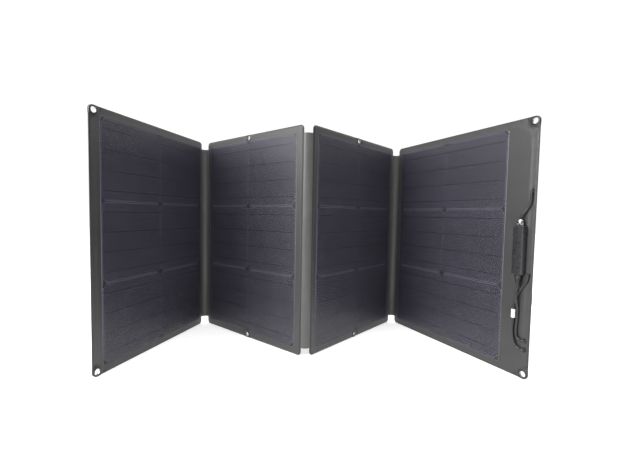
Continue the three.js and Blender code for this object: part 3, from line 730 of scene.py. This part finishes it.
def add_skin(panel, face):
    """The front or back fabric of a panel: its board shows through as a raised shape."""
    spec = PANELS[panel]
    box = (0, 0, spec["width"], PANEL_HEIGHT)
    holes = [circle(x, z, kind["bore"] + EYELET_WALL + GAP) for kind, x, z, _ in eyelets(panel)]
    if panel == 4:
        holes += [circle(x, z, LEAD_SLIT) for x, z in lead_crossings(face["side"] * 1.8 * MM)]
    margins = [-0.6 * MM, 0.3 * MM, 1.1 * MM]
    if spec["free_edge"]:
        margins += [-SHELF["start"] - SHELF["width"] * share for share in (0, 0.5, 1)]
    marks = [resampled(board_outline(spec, margin), SKIN_STEP / 2) for margin in margins]
    film = film_box(panel)
    if face is FRONT:
        marks.append(rounded_rectangle(film, FILM_RADIUS))
    grid = lattice(stops(0, spec["width"], SKIN_STEP), stops(0, PANEL_HEIGHT, SKIN_STEP))
    for kind, x, z, _ in eyelets(panel):
        rings = [circle(x, z, kind["flange"] + more * MM) for more in (0.5, 2, 3.5, 5.5)]
        grid = np.vstack([grid, *rings])
    lining = lattice(stops(0, spec["width"], LINING_STEP), stops(0, PANEL_HEIGHT, LINING_STEP))
    body = sheet_body(
        lambda inset: rounded_rectangle(box, CORNER_RADIUS, inset, SKIN_STEP),
        holes, marks, (grid, lining), (skin_height(panel, face), skin_lining(panel)),
        face["side"], EDGE_ROUND,
    )

    def under_film(centre, normal):
        return int(film[0] < centre.x < film[2] and film[1] < centre.z < film[3] and normal.y < -0.5)
    name, node = ("front_skin", "front_fabric") if face is FRONT else ("rear_skin", "rear_cover")
    looks = [LOOKS["front"], LOOKS["laminate"]] if face is FRONT else LOOKS["back"]
    piece = add_piece(
        f"panel_{panel}_{name}", body, looks, panel, [f"panel_{panel}_{node}"], 50,
        under_film if face is FRONT else None,
    )
    # The inner attribute is 0 off the board and 1 over it; the front fabric's look paints shade where it is
    # low.
    inner = smooth((depth_inside(np.array(body[0])[:, [0, 2]], board_outline(spec)) + 1.6 * MM) / (2 * MM))
    attribute = piece.data.attributes.new("inner", "FLOAT", "POINT")
    attribute.data.foreach_set("value", inner.astype(np.float32))


def film_height(panel, drop):
    """The film's height over the cells, which dips between them and stands over the ribbons."""
    left, bottom = cell_corner(panel)
    gaps = [bottom + CELL_PITCH * i - (CELL_PITCH - CELL) / 2 for i in (1, 2)]
    middle = left + CELL_PITCH - (CELL_PITCH - CELL) / 2
    box = film_box(panel)

    def height(points):
        x, z = points[:, 0], points[:, 1]
        edge = np.minimum.reduce([x - box[0], box[2] - x, z - box[1], box[3] - z])
        level = FILM_EDGE + (FILM_FACE - FILM_EDGE) * smooth(edge / (2.4 * MM))
        across = np.min([abs(z - gap) for gap in gaps], axis=0)
        for away in (across, abs(x - middle)):
            level -= 0.28 * MM * np.exp(-((away / MM) ** 2))
        from_diamond = np.min([abs(x - middle) + abs(z - gap) for gap in (*gaps, box[1], box[3])], axis=0)
        level -= 0.3 * MM * smooth((CELL_CUT + 1 * MM - from_diamond) / (3 * MM))
        ribbon = (z - bottom) % CELL_PITCH % (CELL / RIBBONS) - CELL / RIBBONS / 2
        level += 0.09 * MM * np.exp(-((ribbon / (1.1 * MM)) ** 2)) * smooth(edge / (7 * MM))
        return level - drop
    return height


def film_haze(panel, points):
    """How hazy the film is: least where it is pressed on the ribbons and gaps."""
    left, bottom = cell_corner(panel)
    x, z = points[:, 0], points[:, 1]
    across, up = (x - left) % CELL_PITCH, (z - bottom) % CELL_PITCH
    ribbon = up % (CELL / RIBBONS) - CELL / RIBBONS / 2
    haze = HAZE["cell"] - (HAZE["cell"] - HAZE["ribbon"]) * np.exp(-((ribbon / (1.5 * MM)) ** 2))
    corner = np.minimum(across, abs(CELL - across)) + np.minimum(up, abs(CELL - up))
    gap = (across > CELL) | (up > CELL) | (corner < CELL_CUT)
    return np.where(gap, HAZE["gap"], haze)


def add_film(panel):
    left, bottom = cell_corner(panel)
    box = film_box(panel)
    near_gap = [offset * MM for offset in (-2.2, -0.9, 0, 0.9, 2.2)]
    xs = [left + CELL_PITCH - 1 * MM + offset for offset in near_gap]
    zs = [bottom + CELL_PITCH * i - 1 * MM + offset for i in (1, 2) for offset in near_gap]
    for row in range(len(CELL_ROWS)):
        for i in range(RIBBONS):
            ribbon = bottom + CELL_PITCH * row + CELL * (i + 0.5) / RIBBONS
            zs += [ribbon + offset * MM for offset in (-2.0, -0.9, 0, 0.9, 2.0)]
    rims = [1.4 * MM, 2.4 * MM, 4.0 * MM]
    xs = stops(box[0], box[2], FILM_STEP, xs + [box[0] + r for r in rims] + [box[2] - r for r in rims])
    zs = stops(box[1], box[3], FILM_STEP, zs + [box[1] + r for r in rims] + [box[3] - r for r in rims])
    grid = lattice(xs, zs)
    body = sheet_body(
        lambda inset: rounded_rectangle(box, FILM_RADIUS, inset, FILM_STEP),
        [], [], (grid, grid), (film_height(panel, 0), film_height(panel, FILM_THICKNESS)), -1, 0.15 * MM,
    )
    # Faces within 1.4 mm of the film's edge get the painted highlight look.
    def in_painted_edge_highlight(centre, normal):
        along = (centre.x - box[0], box[2] - centre.x, centre.z - box[1], box[3] - centre.z)
        return int(min(along) < rims[0])
    name, looks = f"panel_{panel}_film", [LOOKS["film"], LOOKS["film_edge_painted_highlight"]]
    piece = add_piece(f"{name}_sheet", body, looks, panel, [name], 50, in_painted_edge_highlight)
    haze = piece.data.attributes.new("haze", "FLOAT", "POINT")
    haze.data.foreach_set("value", film_haze(panel, np.array(body[0])[:, [0, 2]]).astype(np.float32))


def cut_square(x, z, inset):
    """A cell's outline: a square with its corners cut off and slightly rounded."""
    low, high, cut = inset, CELL - inset, CELL_CUT + inset * (math.sqrt(2) - 1)
    corners = [
        (low + cut - inset, low), (high - cut + inset, low), (high, low + cut - inset),
        (high, high - cut + inset), (high - cut + inset, high), (low + cut - inset, high),
        (low, high - cut + inset), (low, low + cut - inset),
    ]
    return rounded_polygon([(x + u, z + w, 0.8 * MM) for u, w in corners], 3)


def add_cells(panel, row):
    """One row: two wafers with a paler rim, joined by the ribbons soldered across them. The rim is partly
    the silicon's own edge and partly painted highlight, brightest along the top and bottom ends.
    """
    left, bottom = cell_corner(panel)
    z = bottom + CELL_PITCH * CELL_ROWS.index(row)
    rim = 1.3 * MM
    profile = [(0.1, -CELL_BACK), (0, -CELL_BACK - 0.1 * MM), (0, -CELL_FACE + 0.1 * MM), (0.1, -CELL_FACE)]
    bodies = []
    for column in range(CELL_COLUMNS):
        x = left + CELL_PITCH * column
        loops = [at_level(cut_square(x, z, inset * MM), y) for inset, y in profile]
        bodies.append(loft([*loops, at_level(cut_square(x, z, rim), -CELL_FACE)]))
    right = left + CELL_PITCH * (CELL_COLUMNS - 1) + CELL
    for i in range(RIBBONS):
        middle = z + CELL * (i + 0.5) / RIBBONS
        ends = (left + RIBBON_END, middle - RIBBON_WIDTH / 2, right - RIBBON_END, middle + RIBBON_WIDTH / 2)
        sides = [(0, -CELL_FACE), (0, -CELL_FACE - RIBBON_PROUD / 2), (0.15 * MM, -CELL_FACE - RIBBON_PROUD)]
        bodies.append(rounded_block(ends, 0.3 * MM, sides, step=20 * MM))

    looks = [LOOKS[name] for name in ("cell", "cell_end_rim_painted_highlight", "ribbon", "cell_side")]

    def sort(centre, normal):
        if centre.y < -CELL_FACE - 0.01 * MM:
            return 2
        column = (centre.x - left) % CELL_PITCH
        inset = min(column, CELL - column, centre.z - z, z + CELL - centre.z)
        corner = min(column, CELL - column) + min(centre.z - z, z + CELL - centre.z)
        if inset > rim and corner > CELL_CUT + rim:
            return 0
        # Top and bottom rims take the brighter look, painted highlight along the gaps between rows; side
        # rims take the dimmer one.
        return 1 if min(centre.z - z, z + CELL - centre.z) < rim else 3
    add_piece(
        f"panel_{panel}_wafers_{row}", merged(*bodies), looks,
        panel, [f"panel_{panel}_cells_{row}"], 25, sort,
    )


def add_eyelets(panel):
    """Rolled eyelets: a domed flange in front, a flatter washer behind and the barrel between them."""
    front, back = FRONT["flange"] + FLANGE_THICKNESS, BACK["flange"] + FLANGE_THICKNESS
    for kind, x, z, end in eyelets(panel):
        bore, flange = kind["bore"], kind["flange"]
        wide = flange - bore
        profile = [
            (bore, 0),
            *steps(bore, front, [(0.1, -1.4), (0.35, -0.5), (0.7, 0.05)]),
            (bore + 0.6 * wide, front + 0.1 * MM), (bore + 0.85 * wide, front - 0.2 * MM),
            *steps(flange, front - FLANGE_THICKNESS, [(0, 0.05), (-0.3, -0.05)]),
            (bore + EYELET_WALL, front - FLANGE_THICKNESS), (bore + EYELET_WALL, -back + FLANGE_THICKNESS),
            *steps(flange, -back + FLANGE_THICKNESS, [(0, -0.02)]),
            *steps(flange, -back, [(0, 0.12), (-0.15, 0)]),
            (bore + 0.5 * wide, -back),
            *steps(bore, -back, [(0.6, 0.1), (0.3, 0.7), (0.1, 1.6)]),
        ]

        def in_bore(centre, normal, reach=bore + 0.3 * MM, x=x, z=z):
            return int(math.hypot(centre.x - x, centre.z - z) < reach)
        loops = [at_level(circle(x, z, radius, EYELET_SIDES), -level) for radius, level in profile]
        node = f"panel_{panel}_eyelet_{end}"
        looks = [LOOKS["eyelet"], LOOKS["bore"]]
        add_piece(f"{node}_ring", loft(loops, ring=True), looks, panel, [node], 40, in_bore)


# ---- Hinge webs ----


def add_web(name, panels, host, origin_x, axis_y, fold_side, way):
    """A fabric web bent from one panel's edge to the next one's."""
    joint = next(j for j in frame["joints"] if {j["parent"], j["child"]} == {f"panel_{p}" for p in panels})
    half = (math.pi + math.radians(joint["range_deg"][0])) / 2
    reach = AXIS_INSET + abs(axis_y) / math.tan(half)
    radius = reach * math.tan(half)
    turn = math.pi - 2 * half
    clearance = GAP / radius
    low, high, thick = WEB_NOTCH, PANEL_HEIGHT - WEB_NOTCH, WEB_THICKNESS / 2
    along = np.linspace(low + thick, high - thick, 60)
    hem = [math.radians(a) for a in (30, 60, 90, 120, 150)]
    section = [(thick, z) for z in along]
    section += [(thick * math.cos(a), high - thick + thick * math.sin(a)) for a in hem]
    section += [(-thick, z) for z in along[::-1]]
    section += [(-thick * math.cos(a), low + thick - thick * math.sin(a)) for a in hem]
    stations = np.linspace(clearance, turn - clearance, 25)
    loops, cloth = [], []
    for angle in stations:
        share = (angle - clearance) / (turn - 2 * clearance)
        slack = 0.5 * MM * math.sin(math.pi * share) ** 2
        loop = []
        for offset, z in section:
            wave = noise.noise(Vector((share * 2, z * 14, panels[0]))) * slack
            r = radius + offset + wave
            x = way * r * math.sin(angle)
            y = fold_side * (radius - r * math.cos(angle))
            loop.append((origin_x + x, y, z))
            cloth.append((radius * angle, offset, z))
        loops.append(loop)
    body = loft(loops)
    piece = add_piece(f"{name}_cloth", body, LOOKS["web"], host, [name], 50)
    attribute = piece.data.attributes.new("cloth", "FLOAT_VECTOR", "POINT")
    attribute.data.foreach_set("vector", np.array(cloth, np.float32).ravel())
    piece.parent = None
    piece.matrix_world = PLACES[host]
    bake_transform(piece)


# ---- Cable strip ----


def add_to_strip(name, body, look, node):
    return add_piece(name, body, LOOKS[look], 4, [node] if node else ())


def add_inline_box():
    base = rounded_block(BOX, 3 * MM, [
        *steps(0, BOX_BACK, [(1, 0), (0.3, 0), (0, -0.3)]),
        *steps(0, BOX_SPLIT[0], [(0, 0.3), (0.3, 0), (1.3, 0), (1.6, 0.3)]),
        *steps(0, BOX_BACK, [(1.6, -1.6)]),
    ], step=6 * MM)
    add_to_strip("inline_box_base_shell", base, "housing", "inline_box_base")
    depth = BOX_SPLIT[1] - BOX_FACE
    shoulder = BOX_SPLIT[1] - 0.45 * depth
    cover = steps(0, BOX_FACE, [(1.6, 1.6)])
    cover += steps(0, BOX_SPLIT[1], [(1.6, -0.3), (1.3, 0), (0.3, 0), (0, -0.3)])
    for angle in np.radians((0, 20, 40, 60, 80, 90)):
        cover.append((2.2 * MM * (1 - math.cos(angle)), shoulder - 0.55 * depth * math.sin(angle)))
    shell = rounded_block(BOX, 3 * MM, cover, step=6 * MM)
    half_width, half_height = BOX_FRAME["width"] / 2, BOX_FRAME["height"] / 2
    middle = (BOX[1] + BOX[3]) / 2
    window = (INLINE_X - half_width, middle - half_height, INLINE_X + half_width, middle + half_height)
    band, face = BOX_FRAME["band"], BOX_FACE - BOX_FRAME["proud"]
    frame_profile = [
        (0, BOX_FACE + 0.3 * MM), *steps(0, face, [(0, 0.25), (0.2, 0)]),
        *steps(band, face, [(-0.2, 0), (0, 0.25)]), (band, BOX_FACE + 0.3 * MM),
    ]
    raised = rounded_block(window, BOX_FRAME["radius"], frame_profile, ring=True, step=6 * MM)
    add_to_strip("inline_box_cover_shell", merged(shell, raised), "housing", "inline_box_cover")


def placed(body, at, flip=False):
    """Moves a turned body to a place, upside down where flip says so."""
    sign = -1 if flip else 1
    return [(at[0] + x, at[1] + sign * y, at[2] + sign * z) for x, y, z in body[0]], body[1]


def add_glands():
    """The plated gland on top, and the black strain relief below with its soft tail."""
    nut = turned([(0, 0), (5.2, 0), (6, 0.7), (6, 4.4), (5.2, 5), (0, 5)], 6)
    dome = turned([
        (0, 5.05), (5, 5.05), (5.4, 5.5), (5.4, 8.3), (5.1, 9.6), (4.5, 10.9), (3.9, 11.5), (3.4, 11.6),
        (0, 11.6),
    ], 40)
    seal = turned([(0, 11.65), (3.7, 11.65), (3.6, 12.6), (3.1, 13), (0, 13)], 32)
    above, below = (INLINE_X, INLINE_Y, BOX[3] + GAP), (INLINE_X, INLINE_Y, BOX[1] - GAP)
    plated = placed(merged(nut, dome), above)
    add_to_strip("inline_gland_top_body", plated, "gland", "inline_gland_top")
    add_to_strip("inline_gland_top_seal", placed(seal, above), "seal", None)
    tail = [(0, 0), (5.6, 0), (6, 0.5), (6, 6.8), (5.5, 7.4)]
    for i in range(5):
        z, r = 8.2 + 2 * i, 4.7 - 0.22 * i
        tail += [(r - 0.5, z - 0.35), (r, z), (r - 0.05, z + 1.1), (r - 0.5, z + 1.45)]
    tail += [(3.5, 18.4), (3.2, 19), (0, 19)]
    relief = placed(turned(tail, 40), below, flip=True)
    add_to_strip("inline_gland_bottom_relief", relief, "black", "inline_gland_bottom")


def add_junction_box():
    levels = JUNCTION_LEVELS
    base = rounded_block(JUNCTION, 4 * MM, [
        *steps(0, levels["base"], [(1.2, 0), (0.4, 0), (0, 0.4)]),
        *steps(0, levels["split"], [(0, -0.4), (0.3, 0), (1.7, 0), (2, -0.3)]),
        *steps(0, levels["base"], [(2, 2)]),
    ], step=6 * MM)
    add_to_strip("junction_box_base_shell", base, "housing", "junction_box_base")
    rebate = [(3.6, 0), (4, -0.5), (4.8, -0.5), (5.2, 0)]
    lid = rounded_block(JUNCTION, 4 * MM, [
        *steps(0, levels["lid"], [(2, 1.5), (2, 0.2), (1.8, 0), (0.3, 0), (0, 0.3)]),
        *steps(0, levels["top"], [(0, -1.3), (0.4, -0.4), (1.3, 0), *rebate, (7, 0)]),
    ], step=6 * MM)
    add_to_strip("junction_box_lid_shell", lid, "housing", "junction_box_lid")
    nut = turned([(0, 0), (5, 0), (5.6, 0.5), (5.6, 4), (5, 4.5), (0, 4.5)], 6)
    cap = [(0, 4.55), (4.9, 4.55), (5, 7), (4.5, 8.8), (3.7, 9.7), (3.3, 10), (0, 10)]
    for end, z, flip in (("a", JUNCTION[3] + GAP, False), ("b", JUNCTION[1] - GAP, True)):
        body = placed(merged(nut, turned(cap, 32)), (JUNCTION_GLAND["x"], JUNCTION_GLAND["y"], z), flip)
        node = f"junction_gland_{end}"
        add_to_strip(f"{node}_body", body, "black", node)


def add_connectors():
    """Inline solar connectors: fluted cable nut, body with a grip, and latched nose."""
    nut = turned([(0, 0), (4.6, 0), (6.4, 2.5), (8, 7), (8, 26), (7.4, 27.4), (0, 27.4)], 48, flute=0.45)
    grip = [(0, 27.8), (6.4, 27.8), (6.8, 28.6)]
    for z in range(33, 57, 4):
        grip += [(6.8, z), (6.2, z + 0.5), (6.2, z + 1.5), (6.8, z + 2)]
    grip += [(6.8, 62), (7.7, 64), (7.7, 75), (7.1, 76), (0, 76)]
    nose = turned([(0, 76.1), (4.6, 76.1), (4.6, 91), (4.1, 92), (0, 92)], 32)
    pieces = {}
    for end, x in CONNECTOR_X.items():
        tabs = [tab_body(side) for side in (-1, 1)] if end == "a" else []
        whole = placed(merged(nut, turned(grip, 40), nose, *tabs), (x, CONNECTOR["y"], CONNECTOR["bottom"]))
        node = f"connector_{end}"
        pieces[end] = add_to_strip(f"{node}_body", whole, "black", node)
    return pieces


def tab_body(side):
    """A latch arm beside the nose of a connector."""
    low, high = 76.2 * MM, 90 * MM
    inner, outer = 5.2 * MM * side, 6.4 * MM * side
    half = 1.8 * MM
    loops = []
    for z, narrow in ((low, 0), (high - 2 * MM, 0), (high, 0.6 * MM)):
        x = outer - narrow * side
        loops.append([(inner, -half, z), (x, -half, z), (x, half, z), (inner, half, z)])
    return loft(loops)


def band_path():
    """The band's centre line over both connectors, in X and Y."""
    ground, crest = 2.6 * MM + BAND["thickness"] / 2, 19.4 * MM
    left, right = BAND["left"], BAND["right"]
    corners = [
        (left + 0.5 * MM, ground, 0), (left + 1.6 * MM, crest - 4 * MM, 3 * MM),
        (left + 6.8 * MM, crest, 4 * MM),
    ]
    mirrored = [(left + right - x, y, radius) for x, y, radius in corners[::-1]]
    points = rounded_polygon([*corners, *mirrored], 6)
    return resampled(points, 2 * MM)[: -round((right - left) / (2 * MM)) + 1]


def add_band():
    """The woven elastic over the connectors, with a rounded selvedge."""
    path = band_path()
    ahead = np.gradient(path, axis=0)
    normal = np.column_stack([ahead[:, 1], -ahead[:, 0]])
    normal /= np.linalg.norm(normal, axis=1)[:, None]
    half, low, high = BAND["thickness"] / 2, BAND["bottom"], BAND["top"]
    section = [(half, z) for z in np.linspace(low + half, high - half, 12)]
    section += [(half * math.cos(a), high - half + half * math.sin(a)) for a in np.radians((45, 90, 135))]
    section += [(-half, z) for z in np.linspace(high - half, low + half, 12)]
    section += [(-half * math.cos(a), low + half - half * math.sin(a)) for a in np.radians((45, 90, 135))]
    loops = [[(p[0] + n[0] * t, p[1] + n[1] * t, z) for t, z in section] for p, n in zip(path, normal)]
    add_piece("connector_band_elastic", loft(loops), LOOKS["band"], 4, ["connector_band"], 50)


# ---- Leads ----


def half_turn():
    """The turn of a lead through the panel, as (out, y) pairs from its back to its front."""
    middle, radius = (LEAD_BACK_Y + LEAD_FRONT_Y) / 2, (LEAD_BACK_Y - LEAD_FRONT_Y) / 2
    return [(radius * math.sin(a), middle + radius * math.cos(a)) for a in np.linspace(0, math.pi, 5)]


def sideways_turn(z):
    """Sideways through a hole, from the panel's back to its front."""
    centre = LEAD_HOLE_X - (LEAD_BACK_Y - LEAD_FRONT_Y) / 2
    ends = [(centre - 3 * MM, y, z) for y in (LEAD_BACK_Y, LEAD_FRONT_Y)]
    return [ends[0], *[(centre + out, y, z) for out, y in half_turn()], ends[1]]


def over_turn(z):
    """Over the lower edge of a hole, up the panel's back and down its front."""
    centre = z - (LEAD_BACK_Y - LEAD_FRONT_Y) / 2
    turn = [(LEAD_HOLE_X, y, centre + out) for out, y in half_turn()]
    return [*turn, (LEAD_HOLE_X, LEAD_FRONT_Y, centre - 5 * MM)]


def down_through(z):
    """Down through a hole, from the panel's back to its front."""
    middle, reach = (LEAD_BACK_Y + LEAD_FRONT_Y) / 2, (LEAD_BACK_Y - LEAD_FRONT_Y) / 2
    steps = [(reach, 5.5 * MM), (reach - 0.9 * MM, 2.6 * MM), (reach - 3.3 * MM, 0.8 * MM)]
    upper = [(LEAD_HOLE_X, middle + y, z + rise) for y, rise in steps]
    lower = [(LEAD_HOLE_X, middle - y, z - rise) for y, rise in steps]
    return [*upper, *lower[::-1]]


def in_metres(points):
    return [tuple(value * MM for value in point) for point in points]


def lead_routes():
    """The three leads' routes on panel 4: the points that the part gives them."""
    gland_x, gland_y = JUNCTION_GLAND["x"] / MM, JUNCTION_GLAND["y"] / MM
    front, back = LEAD_FRONT_Y / MM, LEAD_BACK_Y / MM
    inline_x, inline_y = INLINE_X / MM, INLINE_Y / MM
    marker_x, marker_y = MARKER["x"] / MM, MARKER["y"] / MM
    plug_a, plug_b, plug_y = CONNECTOR_X["a"] / MM, CONNECTOR_X["b"] / MM, CONNECTOR["y"] / MM
    holes = LEAD_HOLE_HEIGHTS
    above_junction = (JUNCTION[3] + JUNCTION_GLAND["length"] + 2 * GAP) / MM
    below_junction = (JUNCTION[1] - JUNCTION_GLAND["length"] - 2 * GAP) / MM
    above_inline = (BOX[3] + TOP_GLAND_LENGTH + 2 * GAP) / MM
    below_inline = (BOX[1] - BOTTOM_GLAND_LENGTH - 2 * GAP) / MM
    plug_end = (CONNECTOR["bottom"] - GAP) / MM
    return {
        "a_upper": [
            *in_metres([
                (gland_x, gland_y, above_junction), (gland_x, gland_y, above_junction + 4),
                (380, back + 2.3, 353.5), (386.5, back + 0.7, 358),
            ]),
            *over_turn(holes["a_upper"]),
            *in_metres([
                (387.4, front, 347), (384.2, front - 0.7, 338), (379.6, front - 2, 329.5),
                (374.8, inline_y + 0.3, 322.5), (inline_x, inline_y, 317.5),
                (inline_x, inline_y, above_inline),
            ]),
        ],
        "a_lower": [
            *in_metres([
                (inline_x, inline_y, below_inline), (inline_x, inline_y, 179), (372, front - 5.8, 172),
                (371.5, front - 6.6, 164), (371, front - 5.8, 156), (371, front - 2, 145),
                (371.6, front, 135), (371.8, front, 124), (371.2, front, 112), (370.6, front, 99),
                (371, front, 88), (373, front, 80.8), (376.5, front, 77),
            ]),
            *sideways_turn(holes["a_lower"])[::-1],
            *in_metres([
                (374.5, back + 0.6, 77), (372, back + 2, 82), (373.8, back + 3.8, 89.5),
                (377.5, plug_y - 0.1, 96.5), (plug_a, plug_y, 102), (plug_a, plug_y, plug_end),
            ]),
        ],
        "b": [
            *in_metres([
                (gland_x, gland_y, below_junction), (gland_x, gland_y, 234), (379.5, back + 2.3, 226),
                (385.5, back + 0.8, 218.5),
            ]),
            *down_through(holes["b_upper"]),
            *in_metres([
                (384.5, front, 190), (376.5, front, 177), (369, front, 162.5), (365.6, front - 0.6, 150),
                (marker_x, marker_y, 140), (marker_x, marker_y, 125), (marker_x, marker_y, 110),
                (363.2, front - 0.6, 98), (364.4, front, 82), (369, front, 67), (375, front, 60),
            ]),
            *sideways_turn(holes["b_lower"])[::-1],
            *in_metres([
                (370, back, 58.3), (364.5, back + 0.5, 62), (plug_b + 0.3, back + 1.8, 71),
                (plug_b, plug_y - 1, 83), (plug_b, plug_y, 94), (plug_b, plug_y, plug_end),
            ]),
        ],
    }


def smooth_route(points, per_span=8):
    """A centripetal Catmull-Rom curve through the points."""
    p = [np.array(point) for point in points]
    p = [2 * p[0] - p[1], *p, 2 * p[-1] - p[-2]]
    route = []
    for a, b, c, d in zip(p, p[1:], p[2:], p[3:]):
        t = np.cumsum([0, *[np.linalg.norm(v - u) ** 0.5 for u, v in ((a, b), (b, c), (c, d))]])
        for s in np.linspace(t[1], t[2], per_span, endpoint=False):
            ab = a + (b - a) * (s - t[0]) / (t[1] - t[0])
            bc = b + (c - b) * (s - t[1]) / (t[2] - t[1])
            cd = c + (d - c) * (s - t[2]) / (t[3] - t[2])
            first = ab + (bc - ab) * (s - t[0]) / (t[2] - t[0])
            second = bc + (cd - bc) * (s - t[1]) / (t[3] - t[1])
            route.append(first + (second - first) * (s - t[1]) / (t[2] - t[1]))
    return [*route, p[-2]]


def lead_crossings(y):
    """Where the leads pass through panel 4 at this depth, as (x, z) pairs."""
    found = []
    for points in lead_routes().values():
        route = np.array(smooth_route(points))
        crossings = np.nonzero(np.diff(np.sign(route[:, 1] - y)))[0]
        found += [route[i, [0, 2]] for i in crossings]
    return found


def add_lead(end):
    route = smooth_route(lead_routes()[end])
    curve = bpy.data.curves.new(f"lead_{end}_sheath", "CURVE")
    curve.dimensions = "3D"
    curve.bevel_depth = LEAD_DIAMETER / 2
    curve.bevel_resolution = 5
    curve.use_fill_caps = True
    spline = curve.splines.new("POLY")
    spline.points.add(len(route) - 1)
    for point, place in zip(spline.points, route):
        point.co = (*place, 1)
    spline.use_smooth = True
    curve.materials.append(LOOKS["lead"])
    lead = bpy.data.objects.new(curve.name, curve)
    bpy.context.scene.collection.objects.link(lead)
    lead.matrix_world = PLACES[4]
    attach(lead, "panel_4")
    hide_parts(f"lead_{end}")
    PLACES[4] @ Vector(route[0])


def add_marker():
    """The white sleeve: a short tube with soft ends."""
    radius, length = MARKER["radius"] / MM, MARKER["length"] / MM
    bore = LEAD_DIAMETER / 2 / MM + 0.15
    profile = [
        (bore, 0.6), (bore + 0.5, 0.05), (radius - 0.8, 0), (radius - 0.2, 0.4), (radius, 1.2),
        (radius - 0.15, length / 2), (radius, length - 1.2), (radius - 0.2, length - 0.4),
        (radius - 0.8, length), (bore + 0.5, length - 0.05), (bore, length - 0.6),
    ]
    body = turned(profile, 40, (MARKER["x"], MARKER["y"], MARKER["bottom"]), ring=True)
    return add_piece("lead_b_marker_sleeve", body, LOOKS["marker"], 4, ["lead_b_marker"], 60)


# ---- Stage ----


def add_camera():
    """The camera, nearly level and a little below the panels' top edges."""
    yaw, pitch, roll = CAMERA["yaw"], CAMERA["pitch"], CAMERA["roll"]
    ahead = Vector((-math.sin(yaw) * math.cos(pitch), math.cos(yaw) * math.cos(pitch), -math.sin(pitch)))
    level = Vector((math.cos(yaw), math.sin(yaw), 0))
    up = level.cross(ahead)
    right = level * math.cos(roll) + up * math.sin(roll)
    above = up * math.cos(roll) - level * math.sin(roll)
    data = bpy.data.cameras.new("camera")
    data.sensor_width = LENS["sensor"]
    data.lens = LENS["focal"]
    data.shift_x, data.shift_y = LENS["shift"]
    camera = bpy.data.objects.new("camera", data)
    axes = Matrix((right, above, -ahead)).transposed()
    camera.matrix_world = Matrix.Translation(CAMERA["place"]) @ axes.to_4x4()
    bpy.context.scene.collection.objects.link(camera)
    bpy.context.scene.camera = camera


def add_light(name, place, target, size, power):
    data = bpy.data.lights.new(name, "AREA")
    data.shape = "RECTANGLE"
    data.size, data.size_y = size
    data.energy = power
    light = bpy.data.objects.new(name, data)
    light.location = place
    light.rotation_euler = (Vector(target) - Vector(place)).to_track_quat("-Z", "Y").to_euler()
    bpy.context.scene.collection.objects.link(light)


def add_surround():
    """White behind the panels; in front of them, dim at the horizon and brighter overhead."""
    world = bpy.data.worlds.new("surround")
    world.use_nodes = True
    tree = world.node_tree

    def ranged(value, low, high, to_low, to_high):
        node = tree.nodes.new("ShaderNodeMapRange")
        tree.links.new(value, node.inputs["Value"])
        settings = {"From Min": low, "From Max": high, "To Min": to_low, "To Max": to_high}
        for socket, setting in settings.items():
            node.inputs[socket].default_value = setting
        return node
    direction = tree.nodes.new("ShaderNodeSeparateXYZ")
    tree.links.new(tree.nodes.new("ShaderNodeTexCoord").outputs["Generated"], direction.inputs[0])
    overhead = ranged(direction.outputs["Z"], 0.0, 0.7, SURROUND["horizon"], SURROUND["overhead"])
    level = ranged(direction.outputs["Y"], 0.0, 0.4, 0.0, SURROUND["behind"])
    tree.links.new(overhead.outputs[0], level.inputs["To Min"])
    background = tree.nodes["Background"]
    background.inputs["Color"].default_value = (1, 1, 1, 1)
    tree.links.new(level.outputs[0], background.inputs["Strength"])
    bpy.context.scene.world = world


def add_stage():
    """A pale floor, a white surround and soft boxes, the strongest one from the left."""
    mesh = bpy.data.meshes.new("floor")
    half, level = FLOOR_SIZE / 2, CAD_BOX[0].z - 0.4 * MM
    corners = ((-half, -half), (half, -half), (half, half), (-half, half))
    mesh.from_pydata([(x, y, level) for x, y in corners], [], [(0, 1, 2, 3)])
    look = Look("floor_paint", (0.94, 0.94, 0.94), 0.9, emission_color=(1, 1, 1, 1), emission_strength=0.4)
    look.paint(look.tint(look.ranged(look.noise(0.6, 2), 0.3, 0.7), 0.99, 1.01))
    mesh.materials.append(look.material)
    floor = bpy.data.objects.new("floor", mesh)
    bpy.context.scene.collection.objects.link(floor)
    add_surround()
    bpy.context.scene.view_settings.view_transform = "Standard"
    add_light("key", (-1.65, -0.85, 1.1), (0, 0, 0.28), (1.1, 1.5), 58)
    add_light("top", (0.1, -0.5, 2.2), (0, 0, 0.25), (2.0, 1.6), 30)


# ---- Making the blanket ----


def dress_inner_nodes():
    """Materials for the CAD pieces that stay: the boards and what the boxes hold."""
    for node in [f"panel_{panel}_board" for panel in PANELS]:
        frame["nodes"][node].data.materials.clear()
        frame["nodes"][node].data.materials.append(LOOKS["board"])
    for node in ("inline_box_circuit", "junction_terminals"):
        frame["nodes"][node].data.materials.clear()
        frame["nodes"][node].data.materials.append(LOOKS["circuit"])


def add_panels():
    for panel in PANELS:
        add_skin(panel, FRONT)
        add_skin(panel, BACK)
        add_film(panel)
        add_eyelets(panel)
        for row in CELL_ROWS:
            add_cells(panel, row)


def add_cable_strip():
    add_inline_box()
    add_glands()
    add_junction_box()
    add_band()
    connectors = add_connectors()
    marker = add_marker()
    add_lead("a_upper")
    add_lead("a_lower")
    add_lead("b")


add_camera()
add_stage()
dress_inner_nodes()
add_cable_strip()
add_panels()
add_web("hinge_web_12", (1, 2), 2, 0, VALLEY_AXIS_Y, -1, -1)
add_web("hinge_web_23", (2, 3), 2, PANEL_WIDTH, MOUNTAIN_AXIS_Y, 1, 1)
add_web("hinge_web_34", (3, 4), 3, PANEL_WIDTH, VALLEY_AXIS_Y, -1, 1)
